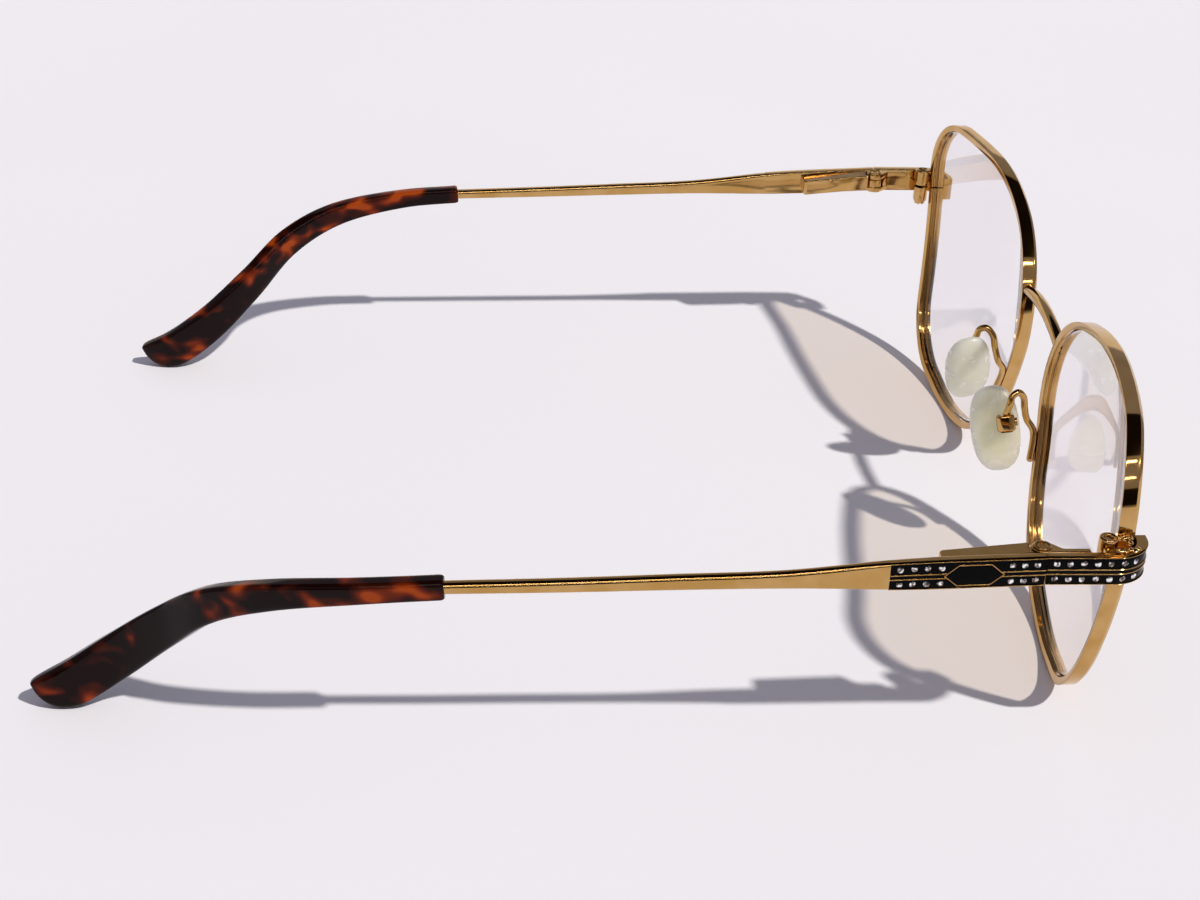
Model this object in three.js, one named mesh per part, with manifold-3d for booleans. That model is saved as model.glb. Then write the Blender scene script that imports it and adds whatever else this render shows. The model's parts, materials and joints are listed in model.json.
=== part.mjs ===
// Cat-eye eyeglasses: a full-rim metal front, sprung temples with enamel inlays, acetate tips.
// Millimetres, +Z up. The wearer's left is +X and the front faces -Y. The glasses stand on the
// bottoms of their rims and on the ends of their tips, on the plane z = 0.
import * as THREE from 'three';
import { mergeVertices } from 'three/addons/utils/BufferGeometryUtils.js';
import Module from 'manifold-3d';

const wasm = await Module();
wasm.setup();

// Driving dimensions: front
const rimWidth = 55.6; // across one rim
const rimHeight = 47.1;
const rimGap = 17.2; // between the two rims at their nearest
const rimDepth = 2.35; // front to back
const rimWall = 1.1; // outer edge to lens opening
const rimEdgeChamfer = 0.12;
const rimFrontBevel = 0.4;
const grooveDepth = 0.45;
const grooveWidth = 1.0;
const rimSplit = 0.3; // slit that lets the rim open for the lens
const baseCurve = 124; // radius of the lens back
const wrapAngle = 4.4; // degrees, each lens turned towards the temple
const lensTilt = 4.7; // degrees, top forward
const lensThickness = 1.5;
const lensFit = 0.05; // lens edge to rim
const bridgeRadius = 0.95;
const bridgeDrop = 11.3; // below the tops of the rims
const bridgeOverlap = 3; // bar drawn past the rims' edges before it is trimmed
const bridgeRise = 0.35; // arch at the middle
const bridgeForward = 0.8; // centre line ahead of the lens centres
const solderGap = 0.2;

// Driving dimensions: endpieces and rim locks
const endpieceReach = 4.1; // outer face beyond the rim's edge
const endpieceThickness = 1.5;
const endpieceHeight = 4;
const endpieceDrop = 13.3; // top edge below the tops of the rims
const endpieceCorner = 5;
const endpieceLap = 0.7; // straight lap in front of the rim
const endpieceClear = 0.35; // lap to the front of the rim
const endpieceLength = 13.95; // front face to the seam
const inlayDepth = 0.3;
const inlayBorder = 0.2; // gold left around the enamel
const inlayFit = 0.03;
const lockRadius = 1.25;
const lockAside = 0.6; // lock axis beside the rim's edge
const lockAbove = 1.0; // over the top of the endpiece
const lockBelow = 0.9; // under its bottom
const lockWebWidth = 1.6;
const lockScrewRadius = 0.6;
const lockScrewHead = { radius: 0.95, height: 0.55 };
const screwFit = 0.05;

// Driving dimensions: hinge and its spring
const hingeClear = 0.1; // knuckles to the inside of the endpiece
const hingeBehindSeam = 0.15;
const hingeHeight = 3.3;
const hingeRaise = 0.3; // middle of the hinge over the middle of the endpiece
const knuckleRadius = 1.4;
const eyeHeight = 1.3;
const eyeFit = 0.06;
const eyeSweep = 0.25; // free ring around the eye
const hingeScrewRadius = 0.6;
const hingeScrewHead = { radius: 1, height: 0.5, sunk: 0.5 };
const slotWidth = 0.35;
const slotDepth = 0.25;
const leafLength = 5.9;
const leafThickness = 1;
const leafShoulder = { from: 0.7, to: 2.55 }; // ahead of the axis, where it narrows to the leaf
const seatFit = 0.05; // soldered plates to what carries them
const boxPitch = 6; // degrees, the spring box falls away behind the hinge with the temple
const boxWall = 0.35; // spring box, inside its bore
const boxHeight = 3.3;
const boxLength = 11.4;
const boxTaper = 0.18; // follows the bar, which leans inwards to the rear
const boxCorner = 0.6; // rounding of its rear inner corner
const boreRadius = 1;
const boreLength = 10;
const bushLength = 1.0;
const bushInset = 0.2; // bush behind the mouth of the box
const shankRadius = 0.58;
const shankLength = 1.8;
const rodRadius = 0.4;
const rodLength = 7.5;
const neckWidth = 1.2;
const nutLength = 0.6;
const nutRadius = 0.92;
const springTurns = 8;
const springWire = 0.13;
const springMeanRadius = 0.78;

// Driving dimensions: temples and tips
const barThickness = 1.5;
const barHeightFront = 4.05;
const barDropFront = 0.05; // top of the bar under the top of the endpiece
const barLength = 76.2; // hinge axis to tip
const inlayLength = 20;
const tipLength = 56.75; // along the head
const tipInset = 1.85; // middle of the tip's front end inside the outer face
const tipDrop = 5.45; // and below the top of the bar
const tipFootHeight = 1.12; // middle of the tip's rear end above the ground
const tipThickness = 2.8;
const tipHeightFront = 2.8;
const tipHeightEnd = 6;
const tipTwist = 10; // degrees, the paddle's outer face looks up
const tipEndLift = 0.6; // the end is cut obliquely: share that it closes towards its upper edge
const coreThickness = 0.8;
const coreHeight = 1.2;
const coreMouth = { width: 1.7, height: 1.5 }; // the bar where it enters the tip
const coreReach = 0.8; // share of the tip that the core wire runs into
const coreFit = 0.12;

// Driving dimensions: nose pads
const padLength = 13.3;
const padWidth = 7.5;
const padSquareness = 0.8;
const padBack = 1.2; // back of the pad to the screw axis
const padDome = 2.7; // thickness
const padFrontal = 21; // degrees, lower ends apart
const padLean = 10; // degrees, upper ends back
const padSplay = -11; // degrees, rear edges apart
const padShift = new THREE.Vector2(-1.6, -1.0); // pad centre from its screw, rearward and down
const padScrewAside = 3.8; // screw beside the rim's nasal edge
const padScrewBehind = 6.5; // behind the lens centres
const padScrewDrop = 23.7; // below the tops of the rims
const padBoxSize = new THREE.Vector3(2.8, 2.6, 2.0);
const padBoxSlot = 1.0;
const padBoxFloor = 0.35;
const padTab = new THREE.Vector3(0.9, 1.6, 2.05);
const padTabReach = 0.75; // tab behind the screw axis
const padTabFit = 0.1; // tab to the floor of its box
const padDisc = { radius: 1.5, height: 0.8 };
const padScrewRadius = 0.37;
const padScrewHead = { radius: 0.62, height: 0.35 };
const padArmRadius = 0.48;
const padArmFoot = 3.2; // soldered length along the rim
const padArmDrop = 25.5; // where the arm leaves the rim, below the tops of the rims
const padArmHumpAside = 1.2; // top of the arm's bend beside the rim's nasal edge
const padArmHumpBehind = 4.6;
const padArmHumpDrop = 19.7;
const padArmBehind = 0.3; // end of the arm behind the screw axis
const padArmUpright = 2.2; // straight end above the pad box
const padArmRise = 0.6; // share of the way up to the bend
const padArmSag = 0.7; // there, ahead of a straight line

// Materials
const goldFinish = { color: 0xb08955, roughness: 0.22, metalness: 1.0 };
const steelFinish = { color: 0xa9a59c, roughness: 0.3, metalness: 1.0 };
const enamelFinish = { color: 0x0d0c0d, roughness: 0.18, metalness: 0.0 };
const acetateFinish = { color: 0x3a1409, roughness: 0.15, metalness: 0.0 };
const lensFinish = { color: 0xe9e8f2, roughness: 0.03, metalness: 0.0, transparent: true, opacity: 0.25 };
const padFinish = { color: 0xc5c9b7, roughness: 0.35, metalness: 0.0, transparent: true, opacity: 0.8 };

const halfFront = rimGap / 2 + rimWidth + endpieceReach;
const endpieceTop = rimHeight - endpieceDrop;
const endpieceBottom = endpieceTop - endpieceHeight;
const axisX = new THREE.Vector3(1, 0, 0);
const axisY = new THREE.Vector3(0, 1, 0);
const axisZ = new THREE.Vector3(0, 0, 1);
const radians = THREE.MathUtils.degToRad;
const through = 20; // cutting tools are longer than what they cut
const roundSides = 16;
const smallSides = 12;
const arcSteps = 10;

// Solids: booleans on closed meshes

function toSolid(geometry) {
  const bare = geometry.clone();
  bare.deleteAttribute('normal');
  bare.deleteAttribute('uv');
  const merged = mergeVertices(bare, 1e-5);
  const vertProperties = new Float32Array(merged.attributes.position.array);
  const triVerts = new Uint32Array(merged.index.array);
  return new wasm.Manifold(new wasm.Mesh({ numProp: 3, vertProperties, triVerts }));
}

function toGeometry(solid) {
  const mesh = solid.getMesh();
  const geometry = new THREE.BufferGeometry();
  geometry.setAttribute('position', new THREE.BufferAttribute(new Float32Array(mesh.vertProperties), 3));
  geometry.setIndex(new THREE.BufferAttribute(new Uint32Array(mesh.triVerts), 1));
  return geometry;
}

function join(first, ...others) {
  return toGeometry(others.reduce((solid, other) => solid.add(toSolid(other)), toSolid(first)));
}

function cut(first, ...tools) {
  return toGeometry(tools.reduce((solid, tool) => solid.subtract(toSolid(tool)), toSolid(first)));
}

// Shapes: boxes, round bars, plates drawn in plan, lofts through rings of points

function box(low, high) {
  const size = new THREE.Vector3().subVectors(high, low);
  const middle = new THREE.Vector3().addVectors(low, high).multiplyScalar(0.5);
  return new THREE.BoxGeometry(size.x, size.y, size.z).translate(middle.x, middle.y, middle.z);
}

// A round bar between two points of one axis; the geometry class draws it along Y.
function roundBar(radius, from, to, sides = roundSides) {
  const along = new THREE.Vector3().subVectors(to, from);
  const bar = new THREE.CylinderGeometry(radius, radius, along.length(), sides);
  bar.applyQuaternion(new THREE.Quaternion().setFromUnitVectors(axisY, along.clone().normalize()));
  const middle = new THREE.Vector3().addVectors(from, to).multiplyScalar(0.5);
  return bar.translate(middle.x, middle.y, middle.z);
}

// A plate whose outline is drawn in plan, as [x, y] points, raised from one height to another.
function plate(outline, bottom, top) {
  const shape = new THREE.Shape(outline.map(([x, y]) => new THREE.Vector2(x, y)));
  const options = { depth: top - bottom, bevelEnabled: false };
  return new THREE.ExtrudeGeometry(shape, options).translate(0, 0, bottom);
}

function signedVolume(positions, index) {
  const corner = (i) => new THREE.Vector3().fromArray(positions, 3 * index[i]);
  let total = 0;
  for (let i = 0; i < index.length; i += 3) {
    total += corner(i).dot(corner(i + 1).cross(corner(i + 2)));
  }
  return total / 6;
}

// A closed skin through rings of equal length. The last ring meets the first, or both get end faces.
function loft(rings, closed = false) {
  const count = rings[0].length;
  const positions = rings.flat().flatMap((point) => point.toArray());
  const index = [];
  const spans = closed ? rings.length : rings.length - 1;
  for (let i = 0; i < spans; i++) {
    const here = i * count;
    const next = ((i + 1) % rings.length) * count;
    for (let j = 0; j < count; j++) {
      const k = (j + 1) % count;
      index.push(here + j, here + k, next + k, here + j, next + k, next + j);
    }
  }
  if (!closed) {
    addEndFace(positions, index, rings[0], 0, true);
    addEndFace(positions, index, rings.at(-1), (rings.length - 1) * count, false);
  }
  if (signedVolume(positions, index) < 0) {
    index.reverse();
  }
  const geometry = new THREE.BufferGeometry();
  geometry.setAttribute('position', new THREE.Float32BufferAttribute(positions, 3));
  geometry.setIndex(index);
  return geometry;
}

function addEndFace(positions, index, ring, first, start) {
  const middle = ring.reduce((sum, point) => sum.add(point), new THREE.Vector3()).divideScalar(ring.length);
  const hub = positions.length / 3;
  positions.push(...middle.toArray());
  for (let j = 0; j < ring.length; j++) {
    const k = (j + 1) % ring.length;
    const edge = start ? [first + k, first + j] : [first + j, first + k];
    index.push(hub, ...edge);
  }
}

// The same piece on the other side of the face.
function mirrored(geometry) {
  const copy = geometry.clone();
  copy.scale(-1, 1, 1);
  if (!copy.index) {
    copy.setIndex([...Array(copy.attributes.position.count).keys()]);
  }
  copy.setIndex([...copy.index.array].reverse());
  return copy;
}

// Rim outline: straight sides between round corners, seen from the front, counter-clockwise
// from the temporal side. x runs from the nasal edge, z from the bottom.

const outlineCorners = [
  { x: rimWidth - 1.1, z: rimHeight / 2, radius: 106 },
  { x: rimWidth + 0.9, z: rimHeight - 0.6, radius: 11 },
  { x: rimWidth / 2 - 4.3, z: rimHeight + 0.3, radius: 56 },
  { x: 11, z: rimHeight - 3.1, radius: 26 },
  { x: -3.75, z: rimHeight - 10.6, radius: 16 },
  { x: 7.5, z: 4, radius: 23 },
  { x: rimWidth / 2 + 0.7, z: -0.65, radius: 34 },
  { x: rimWidth - 7.1, z: 3, radius: 16 },
];
const outlineTurn = 7; // degrees a step
const outlineStride = 6; // longest straight step

function unitStep(from, to) {
  return new THREE.Vector2(to.x - from.x, to.z - from.z).normalize();
}

function sideLength(a, b) {
  return Math.hypot(b.x - a.x, b.z - a.z);
}

function roundedOutline(corners) {
  const count = corners.length;
  const rounded = corners.map((corner, i) => {
    const back = unitStep(corner, corners[(i + count - 1) % count]);
    const ahead = unitStep(corner, corners[(i + 1) % count]);
    const half = Math.acos(back.dot(ahead)) / 2;
    return { corner, back, ahead, half, reach: corner.radius / Math.tan(half) };
  });
  // a rounding is limited by the side that it shares with the next one
  const share = rounded.map((item, i) => {
    const next = rounded[(i + 1) % count];
    return Math.min(1, sideLength(item.corner, next.corner) / (item.reach + next.reach));
  });
  const samples = [];
  rounded.forEach(({ corner, back, ahead, half, reach }, i) => {
    const limit = Math.min(share[i], share[(i + count - 1) % count]);
    const radius = corner.radius * limit;
    const toCentre = new THREE.Vector2().addVectors(back, ahead).normalize();
    const centre = toCentre.clone().multiplyScalar(radius / Math.sin(half));
    const start = back.clone().multiplyScalar(reach * limit).sub(centre);
    const sweep = Math.PI - 2 * half;
    const steps = Math.max(2, Math.ceil(sweep / radians(outlineTurn)));
    for (let s = 0; s <= steps; s++) {
      const angle = start.angle() + (sweep * s) / steps;
      const nx = Math.cos(angle);
      const nz = Math.sin(angle);
      const x = corner.x + centre.x + radius * nx;
      const z = corner.z + centre.y + radius * nz;
      samples.push({ x, z, nx, nz });
    }
  });
  return samples.flatMap((sample, i) => withStraightSteps(sample, samples[(i + 1) % samples.length]));
}

function withStraightSteps(sample, next) {
  const length = sideLength(sample, next);
  if (length < 1e-3) {
    return [];
  }
  const steps = Math.ceil(length / outlineStride);
  return Array.from({ length: steps }, (_, s) => ({
    x: THREE.MathUtils.lerp(sample.x, next.x, s / steps),
    z: THREE.MathUtils.lerp(sample.z, next.z, s / steps),
    nx: THREE.MathUtils.lerp(sample.nx, next.nx, s / steps),
    nz: THREE.MathUtils.lerp(sample.nz, next.nz, s / steps),
  }));
}

const rimOutline = roundedOutline(outlineCorners);

// The backs of rim and lens lie on one sphere, turned by the wrap and the tilt.

const lensCentre = new THREE.Vector3(rimGap / 2 + rimWidth / 2, 0, rimHeight / 2);
const lensAxis = new THREE.Vector3(-Math.tan(radians(wrapAngle)), 1, Math.tan(radians(lensTilt)));
lensAxis.normalize();
const sphereCentre = lensCentre.clone().addScaledVector(lensAxis, baseCurve);

function onLensSphere(x, z, depth) {
  const dx = x - sphereCentre.x;
  const dz = z - sphereCentre.z;
  const back = sphereCentre.y - Math.sqrt(baseCurve ** 2 - dx ** 2 - dz ** 2);
  return new THREE.Vector3(x, back - depth, z);
}

// A point inside the outline by inset, and in front of the rim's back by depth.
function rimPoint(sample, inset, depth) {
  const x = rimGap / 2 + sample.x - inset * sample.nx;
  return onLensSphere(x, sample.z - inset * sample.nz, depth);
}

function outlineAt(height, temporal) {
  const half = rimOutline.filter((sample) => sample.nx > 0 === temporal);
  const miss = (sample) => Math.abs(sample.z - height);
  return half.reduce((best, sample) => (miss(sample) < miss(best) ? sample : best));
}

// Everything between the two outlines, to trim what is soldered to the rim.
function rimBlock(grow, back, front) {
  return loft([back, front].map((depth) => rimOutline.map((sample) => rimPoint(sample, -grow, depth))));
}

const splitHeight = endpieceBottom + endpieceHeight / 2;
const rimSideBack = rimPoint(outlineAt(splitHeight, true), 0, 0);
const grooveMiddle = rimDepth / 2;

function makeRim() {
  const c = rimEdgeChamfer;
  const profile = [
    [c, 0],
    [0, c],
    [0, rimDepth - rimFrontBevel],
    [rimFrontBevel, rimDepth],
    [rimWall, rimDepth],
    [rimWall, grooveMiddle + grooveWidth / 2],
    [rimWall - grooveDepth, grooveMiddle],
    [rimWall, grooveMiddle - grooveWidth / 2],
    [rimWall, 0],
  ];
  const ring = (sample) => profile.map(([inset, depth]) => rimPoint(sample, inset, depth));
  const hoop = loft(rimOutline.map(ring), true);
  const reach = new THREE.Vector3(2 * rimWall, 2 * rimDepth, rimSplit / 2);
  const middle = new THREE.Vector3(rimSideBack.x, rimSideBack.y, splitHeight);
  return cut(hoop, box(middle.clone().sub(reach), middle.clone().add(reach)));
}

// A meniscus lens with a V edge that runs in the rim's groove.
function makeLens() {
  const back = grooveMiddle - lensThickness / 2;
  const front = grooveMiddle + lensThickness / 2;
  const edge = rimWall + lensFit;
  const bevel = grooveWidth / 2 - lensFit;
  const middle = { x: rimWidth / 2, z: rimHeight / 2 };
  const lensRing = 0.55; // share of the way out to the edge
  const shrunk = (share, depth) => rimOutline.map((sample) => {
    const x = rimGap / 2 + THREE.MathUtils.lerp(middle.x, sample.x - edge * sample.nx, share);
    const z = THREE.MathUtils.lerp(middle.z, sample.z - edge * sample.nz, share);
    return onLensSphere(x, z, depth);
  });
  const edgeRing = (inset, depth) => rimOutline.map((sample) => rimPoint(sample, inset, depth));
  return loft([
    shrunk(lensRing, back),
    edgeRing(edge, back),
    edgeRing(edge, grooveMiddle - bevel),
    edgeRing(edge - grooveDepth, grooveMiddle),
    edgeRing(edge, grooveMiddle + bevel),
    edgeRing(edge, front),
    shrunk(lensRing, front),
  ]);
}

// An arched bar between the rims, trimmed to their outer edges.
function makeBridge() {
  const reach = rimGap / 2 + bridgeOverlap;
  const height = rimHeight - bridgeDrop;
  const arch = new THREE.CatmullRomCurve3([-1, -0.5, 0, 0.5, 1].map((share) => {
    const rise = bridgeRise * (1 - 2 * share ** 2);
    return new THREE.Vector3(share * reach, -bridgeForward, height + rise);
  }));
  const section = new THREE.Shape().absarc(0, 0, bridgeRadius, 0, 2 * Math.PI);
  const options = { steps: arcSteps, curveSegments: 6, bevelEnabled: false, extrudePath: arch };
  const bar = new THREE.ExtrudeGeometry(section, options);
  const left = rimBlock(solderGap, -rimDepth, 2 * rimDepth);
  return cut(bar, left, mirrored(left));
}

// Endpiece: a strip bent round the corner from the front of the rim to the seam. Its outer line
// is a straight lap, an arc and a straight side, and inset moves the line inwards.

const endpieceFront = rimSideBack.y - rimDepth - endpieceClear - endpieceThickness;
const seam = endpieceFront + endpieceLength;

function endpieceLine(inset, startTrim = 0, endTrim = 0) {
  const centreX = halfFront - endpieceCorner;
  const centreY = endpieceFront + endpieceCorner;
  const radius = endpieceCorner - inset;
  const arc = Array.from({ length: arcSteps + 1 }, (_, s) => {
    const angle = (-Math.PI / 2) * (1 - s / arcSteps);
    return [centreX + radius * Math.cos(angle), centreY + radius * Math.sin(angle)];
  });
  const start = [centreX - endpieceLap + startTrim, endpieceFront + inset];
  return [start, ...arc, [halfFront - inset, seam - endTrim]];
}

function endpieceBand(outer, inner, bottom, top, startTrim = 0, endTrim = 0) {
  const outside = endpieceLine(outer, startTrim, endTrim);
  const inside = endpieceLine(inner, startTrim, endTrim);
  return plate([...outside, ...inside.reverse()], bottom, top);
}

function makeEndpiece() {
  const strip = endpieceBand(0, endpieceThickness, endpieceBottom, endpieceTop);
  const low = endpieceBottom + inlayBorder;
  const high = endpieceTop - inlayBorder;
  return cut(strip, endpieceBand(-1, inlayDepth, low, high, inlayBorder, inlayBorder));
}

function makeEndpieceInlay() {
  const border = inlayBorder + inlayFit;
  const low = endpieceBottom + border;
  return endpieceBand(0, inlayDepth - inlayFit, low, endpieceTop - border, border, border);
}

// Rim lock: two blocks on either side of the slit, closed by a screw from below.

const lockAxis = new THREE.Vector2(rimSideBack.x + lockAside, rimSideBack.y + lockRadius);
const lockTop = endpieceTop + lockAbove;
const lockBottom = endpieceBottom - lockBelow;

function onLockAxis(height) {
  return new THREE.Vector3(lockAxis.x, lockAxis.y, height);
}

function makeLockBlock(bottom, top, webbed) {
  const barrel = roundBar(lockRadius, onLockAxis(bottom), onLockAxis(top));
  const inner = halfFront - endpieceThickness - solderGap;
  const half = lockWebWidth / 2;
  const low = new THREE.Vector3(lockAxis.x, lockAxis.y - half, bottom);
  const high = new THREE.Vector3(inner, lockAxis.y + half, Math.min(top, endpieceTop));
  const block = webbed ? join(barrel, box(low, high)) : barrel;
  const bore = roundBar(lockScrewRadius + screwFit, onLockAxis(bottom - 1), onLockAxis(top + 1));
  return cut(block, rimBlock(solderGap, -solderGap, 2 * rimDepth), bore);
}

function makeLockScrew() {
  const headTop = lockBottom - seatFit;
  const headBottom = headTop - lockScrewHead.height;
  const head = roundBar(lockScrewHead.radius, onLockAxis(headBottom), onLockAxis(headTop));
  const shank = roundBar(lockScrewRadius, onLockAxis(headTop - seatFit), onLockAxis(lockTop));
  return join(head, shank);
}

// Hinge: a leaf with two knuckles on the endpiece, an eye on the carrier between them.

const hingeInset = endpieceThickness + hingeClear + knuckleRadius;
const hingeAxis = new THREE.Vector2(halfFront - hingeInset, seam + hingeBehindSeam);
const hingeMiddle = splitHeight + hingeRaise;
const hingeBottom = hingeMiddle - hingeHeight / 2;
const hingeTop = hingeMiddle + hingeHeight / 2;
const screwBore = hingeScrewRadius + screwFit;

function onHingeAxis(height) {
  return new THREE.Vector3(hingeAxis.x, hingeAxis.y, height);
}

function makeHingeLeaf() {
  const seat = halfFront - endpieceThickness - seatFit;
  const inside = seat - leafThickness;
  const rear = seam - hingeBehindSeam;
  const outline = [
    [seat, seam - leafLength],
    [seat, rear],
    [hingeAxis.x, hingeAxis.y],
    [hingeAxis.x - knuckleRadius, hingeAxis.y],
    [hingeAxis.x - knuckleRadius, hingeAxis.y - leafShoulder.from],
    [inside, hingeAxis.y - leafShoulder.to],
    [inside, seam - leafLength],
  ];
  const leaf = plate(outline, hingeBottom, hingeTop);
  const knuckles = roundBar(knuckleRadius, onHingeAxis(hingeBottom), onHingeAxis(hingeTop));
  const slot = eyeHeight / 2 + eyeFit;
  const seatRadius = hingeScrewHead.radius + screwFit;
  return cut(
    join(leaf, knuckles),
    roundBar(sweepRadius, onHingeAxis(hingeMiddle - slot), onHingeAxis(hingeMiddle + slot)),
    roundBar(screwBore, onHingeAxis(hingeBottom - 1), onHingeAxis(hingeTop + 1)),
    roundBar(seatRadius, onHingeAxis(hingeTop - hingeScrewHead.sunk), onHingeAxis(hingeTop + 1)),
  );
}

function makeHingeScrew() {
  const headBottom = hingeTop - hingeScrewHead.sunk + seatFit;
  const headTop = headBottom + hingeScrewHead.height;
  const shank = roundBar(hingeScrewRadius, onHingeAxis(hingeBottom), onHingeAxis(headBottom + seatFit));
  const head = roundBar(hingeScrewHead.radius, onHingeAxis(headBottom), onHingeAxis(headTop));
  const reach = new THREE.Vector3(through, slotWidth / 2, 0);
  const slot = box(onHingeAxis(headTop - slotDepth).sub(reach), onHingeAxis(headTop + 1).add(reach));
  return cut(join(head, shank), slot);
}

// Spring hinge: the carrier's rod runs through a bush in the spring box, and a spring between
// the bush and the nut on the rod's end draws the temple against the seam.

const sweepRadius = knuckleRadius + eyeSweep;
const boxMouth = hingeAxis.y + sweepRadius;
const bushFront = boxMouth + bushInset;
const bushRear = bushFront + bushLength;
const shankEnd = boxMouth + shankLength;
const rodEnd = shankEnd + rodLength;
const nutFront = rodEnd - nutLength - seatFit;

// A point on the middle line of the bore, which falls away from the hinge.
function onSlide(y) {
  const behind = y - hingeAxis.y;
  return new THREE.Vector3(hingeAxis.x, y, hingeMiddle - behind * Math.tan(radians(boxPitch)));
}

function makeCarrier() {
  const half = eyeHeight / 2;
  const eye = roundBar(knuckleRadius, onHingeAxis(hingeMiddle - half), onHingeAxis(hingeMiddle + half));
  const neckFront = new THREE.Vector3(hingeAxis.x - neckWidth / 2, hingeAxis.y + 1, hingeMiddle - half);
  const neckRear = new THREE.Vector3(hingeAxis.x + neckWidth / 2, boxMouth - seatFit, hingeMiddle + half);
  const neck = box(neckFront, neckRear);
  const shank = roundBar(shankRadius, onSlide(boxMouth - 2 * seatFit), onSlide(shankEnd));
  const rod = roundBar(rodRadius, onSlide(shankEnd - seatFit), onSlide(rodEnd));
  const bore = roundBar(screwBore, onHingeAxis(hingeMiddle - 2), onHingeAxis(hingeMiddle + 2));
  return cut(join(eye, neck, shank, rod), bore);
}

function ringBetween(outer, inner, from, to) {
  const bore = roundBar(inner, onSlide(from - 1), onSlide(to + 1));
  return cut(roundBar(outer, onSlide(from), onSlide(to)), bore);
}

function makeBush() {
  return ringBetween(boreRadius - seatFit, shankRadius + screwFit, bushFront, bushRear);
}

function makeRodNut() {
  return ringBetween(nutRadius, rodRadius + screwFit, nutFront, nutFront + nutLength);
}

class SpringPath extends THREE.Curve {
  getPoint(t) {
    const clear = springWire + seatFit;
    const angle = 2 * Math.PI * springTurns * t;
    const y = THREE.MathUtils.lerp(bushRear + clear, nutFront - clear, t);
    const across = new THREE.Vector3(Math.cos(angle), 0, Math.sin(angle));
    return onSlide(y).addScaledVector(across, springMeanRadius);
  }
}

function makeSpring() {
  const sides = 5;
  const wire = Array.from({ length: sides }, (_, side) => {
    const angle = (2 * Math.PI * side) / sides;
    return new THREE.Vector2(springWire * Math.cos(angle), springWire * Math.sin(angle));
  });
  const options = { steps: 7 * springTurns, bevelEnabled: false, extrudePath: new SpringPath() };
  return new THREE.ExtrudeGeometry(new THREE.Shape(wire), options);
}

const barInside = halfFront - barThickness;

// A housing behind the knuckles, with a rounded corner at its rear.
function makeSpringBox() {
  const seat = barInside - seatFit;
  const inside = hingeAxis.x - boreRadius - boxWall;
  const rear = boxMouth + boxLength;
  const rounding = Array.from({ length: arcSteps + 1 }, (_, s) => {
    const angle = (Math.PI / 2) * (1 + s / arcSteps);
    return [inside + boxCorner * (1 + Math.cos(angle)), rear - boxCorner * (1 - Math.sin(angle))];
  });
  const outline = [[seat, boxMouth], [seat - boxTaper, rear], ...rounding, [inside, boxMouth]];
  const body = plate(outline, -boxHeight / 2, boxHeight / 2).translate(0, -hingeAxis.y, 0);
  body.rotateX(-radians(boxPitch)).translate(0, hingeAxis.y, hingeMiddle);
  return cut(body, roundBar(boreRadius, onSlide(boxMouth - 1), onSlide(boxMouth + boreLength)));
}

// Temple: a bar that narrows from the seam to the tip, and runs on as a core wire inside it.

const barTop = endpieceTop - barDropFront;
const tipStart = new THREE.Vector3(halfFront - tipInset, hingeAxis.y + barLength, barTop - tipDrop);

// The middle line of the tip: share of its length, share of its drop to the ground, and how far
// it has turned in behind the ear.
const tipPath = new THREE.CatmullRomCurve3([
  { along: 0, drop: 0, inward: 0 },
  { along: 0.189, drop: 0.034, inward: 0.55 },
  { along: 0.397, drop: 0.116, inward: 3.05 },
  { along: 0.538, drop: 0.256, inward: 6.85 },
  { along: 0.654, drop: 0.482, inward: 11.25 },
  { along: 0.785, drop: 0.732, inward: 14.15 },
  { along: 0.905, drop: 0.915, inward: 14.45 },
  { along: 1, drop: 1, inward: 13.7 },
].map(({ along, drop, inward }) => new THREE.Vector3(
  tipStart.x - inward,
  tipStart.y + along * tipLength,
  THREE.MathUtils.lerp(tipStart.z, tipFootHeight, drop),
)));

// The bar in steps: share of the way from the end of the inlay to the tip, outer face inside the
// widest point, top below the front's top, height and thickness.
const barSteps = [
  { share: 0, out: 0.25, top: 1.15, height: 3.8, thickness: barThickness },
  { share: 0.235, out: 0.42, top: 2.65, height: 2.35, thickness: barThickness },
  { share: 0.485, out: 0.6, top: 3.4, height: 1.95, thickness: 1.6 },
  { share: 0.735, out: 0.75, top: 4.1, height: 1.7, thickness: 1.65 },
].map((step) => ({ ...step, y: hingeAxis.y + THREE.MathUtils.lerp(inlayLength, barLength, step.share) }));
barSteps.unshift({ y: hingeAxis.y, out: 0, top: 0, height: barHeightFront, thickness: barThickness });

const sectionSides = 16;

// An oval ring about a centre: squareness 1 is an ellipse, less is a rounder box.
function ovalRing(centre, across, upward, halfWidth, halfHeight, squareness, sides = sectionSides) {
  return Array.from({ length: sides }, (_, s) => {
    const angle = (2 * Math.PI * (s + 0.5)) / sides;
    const bend = (value) => Math.sign(value) * Math.abs(value) ** squareness;
    return centre.clone()
      .addScaledVector(across, halfWidth * bend(Math.cos(angle)))
      .addScaledVector(upward, halfHeight * bend(Math.sin(angle)));
  });
}

const twistSpan = { from: 0.2, to: 0.6 }; // shares of the tip's path

// A ring square to the tip's path, lifted off it towards the upper edge. The twist turns it.
function tipRing(u, halfWidth, halfHeight, squareness, lift = 0) {
  const along = tipPath.getTangentAt(u);
  const turn = radians(tipTwist) * THREE.MathUtils.smoothstep(u, twistSpan.from, twistSpan.to);
  const across = new THREE.Vector3().crossVectors(along, axisZ).normalize().applyAxisAngle(along, -turn);
  const upward = new THREE.Vector3().crossVectors(across, along);
  const centre = tipPath.getPointAt(u).addScaledVector(upward, lift);
  return ovalRing(centre, across, upward, halfWidth, halfHeight, squareness);
}

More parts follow.
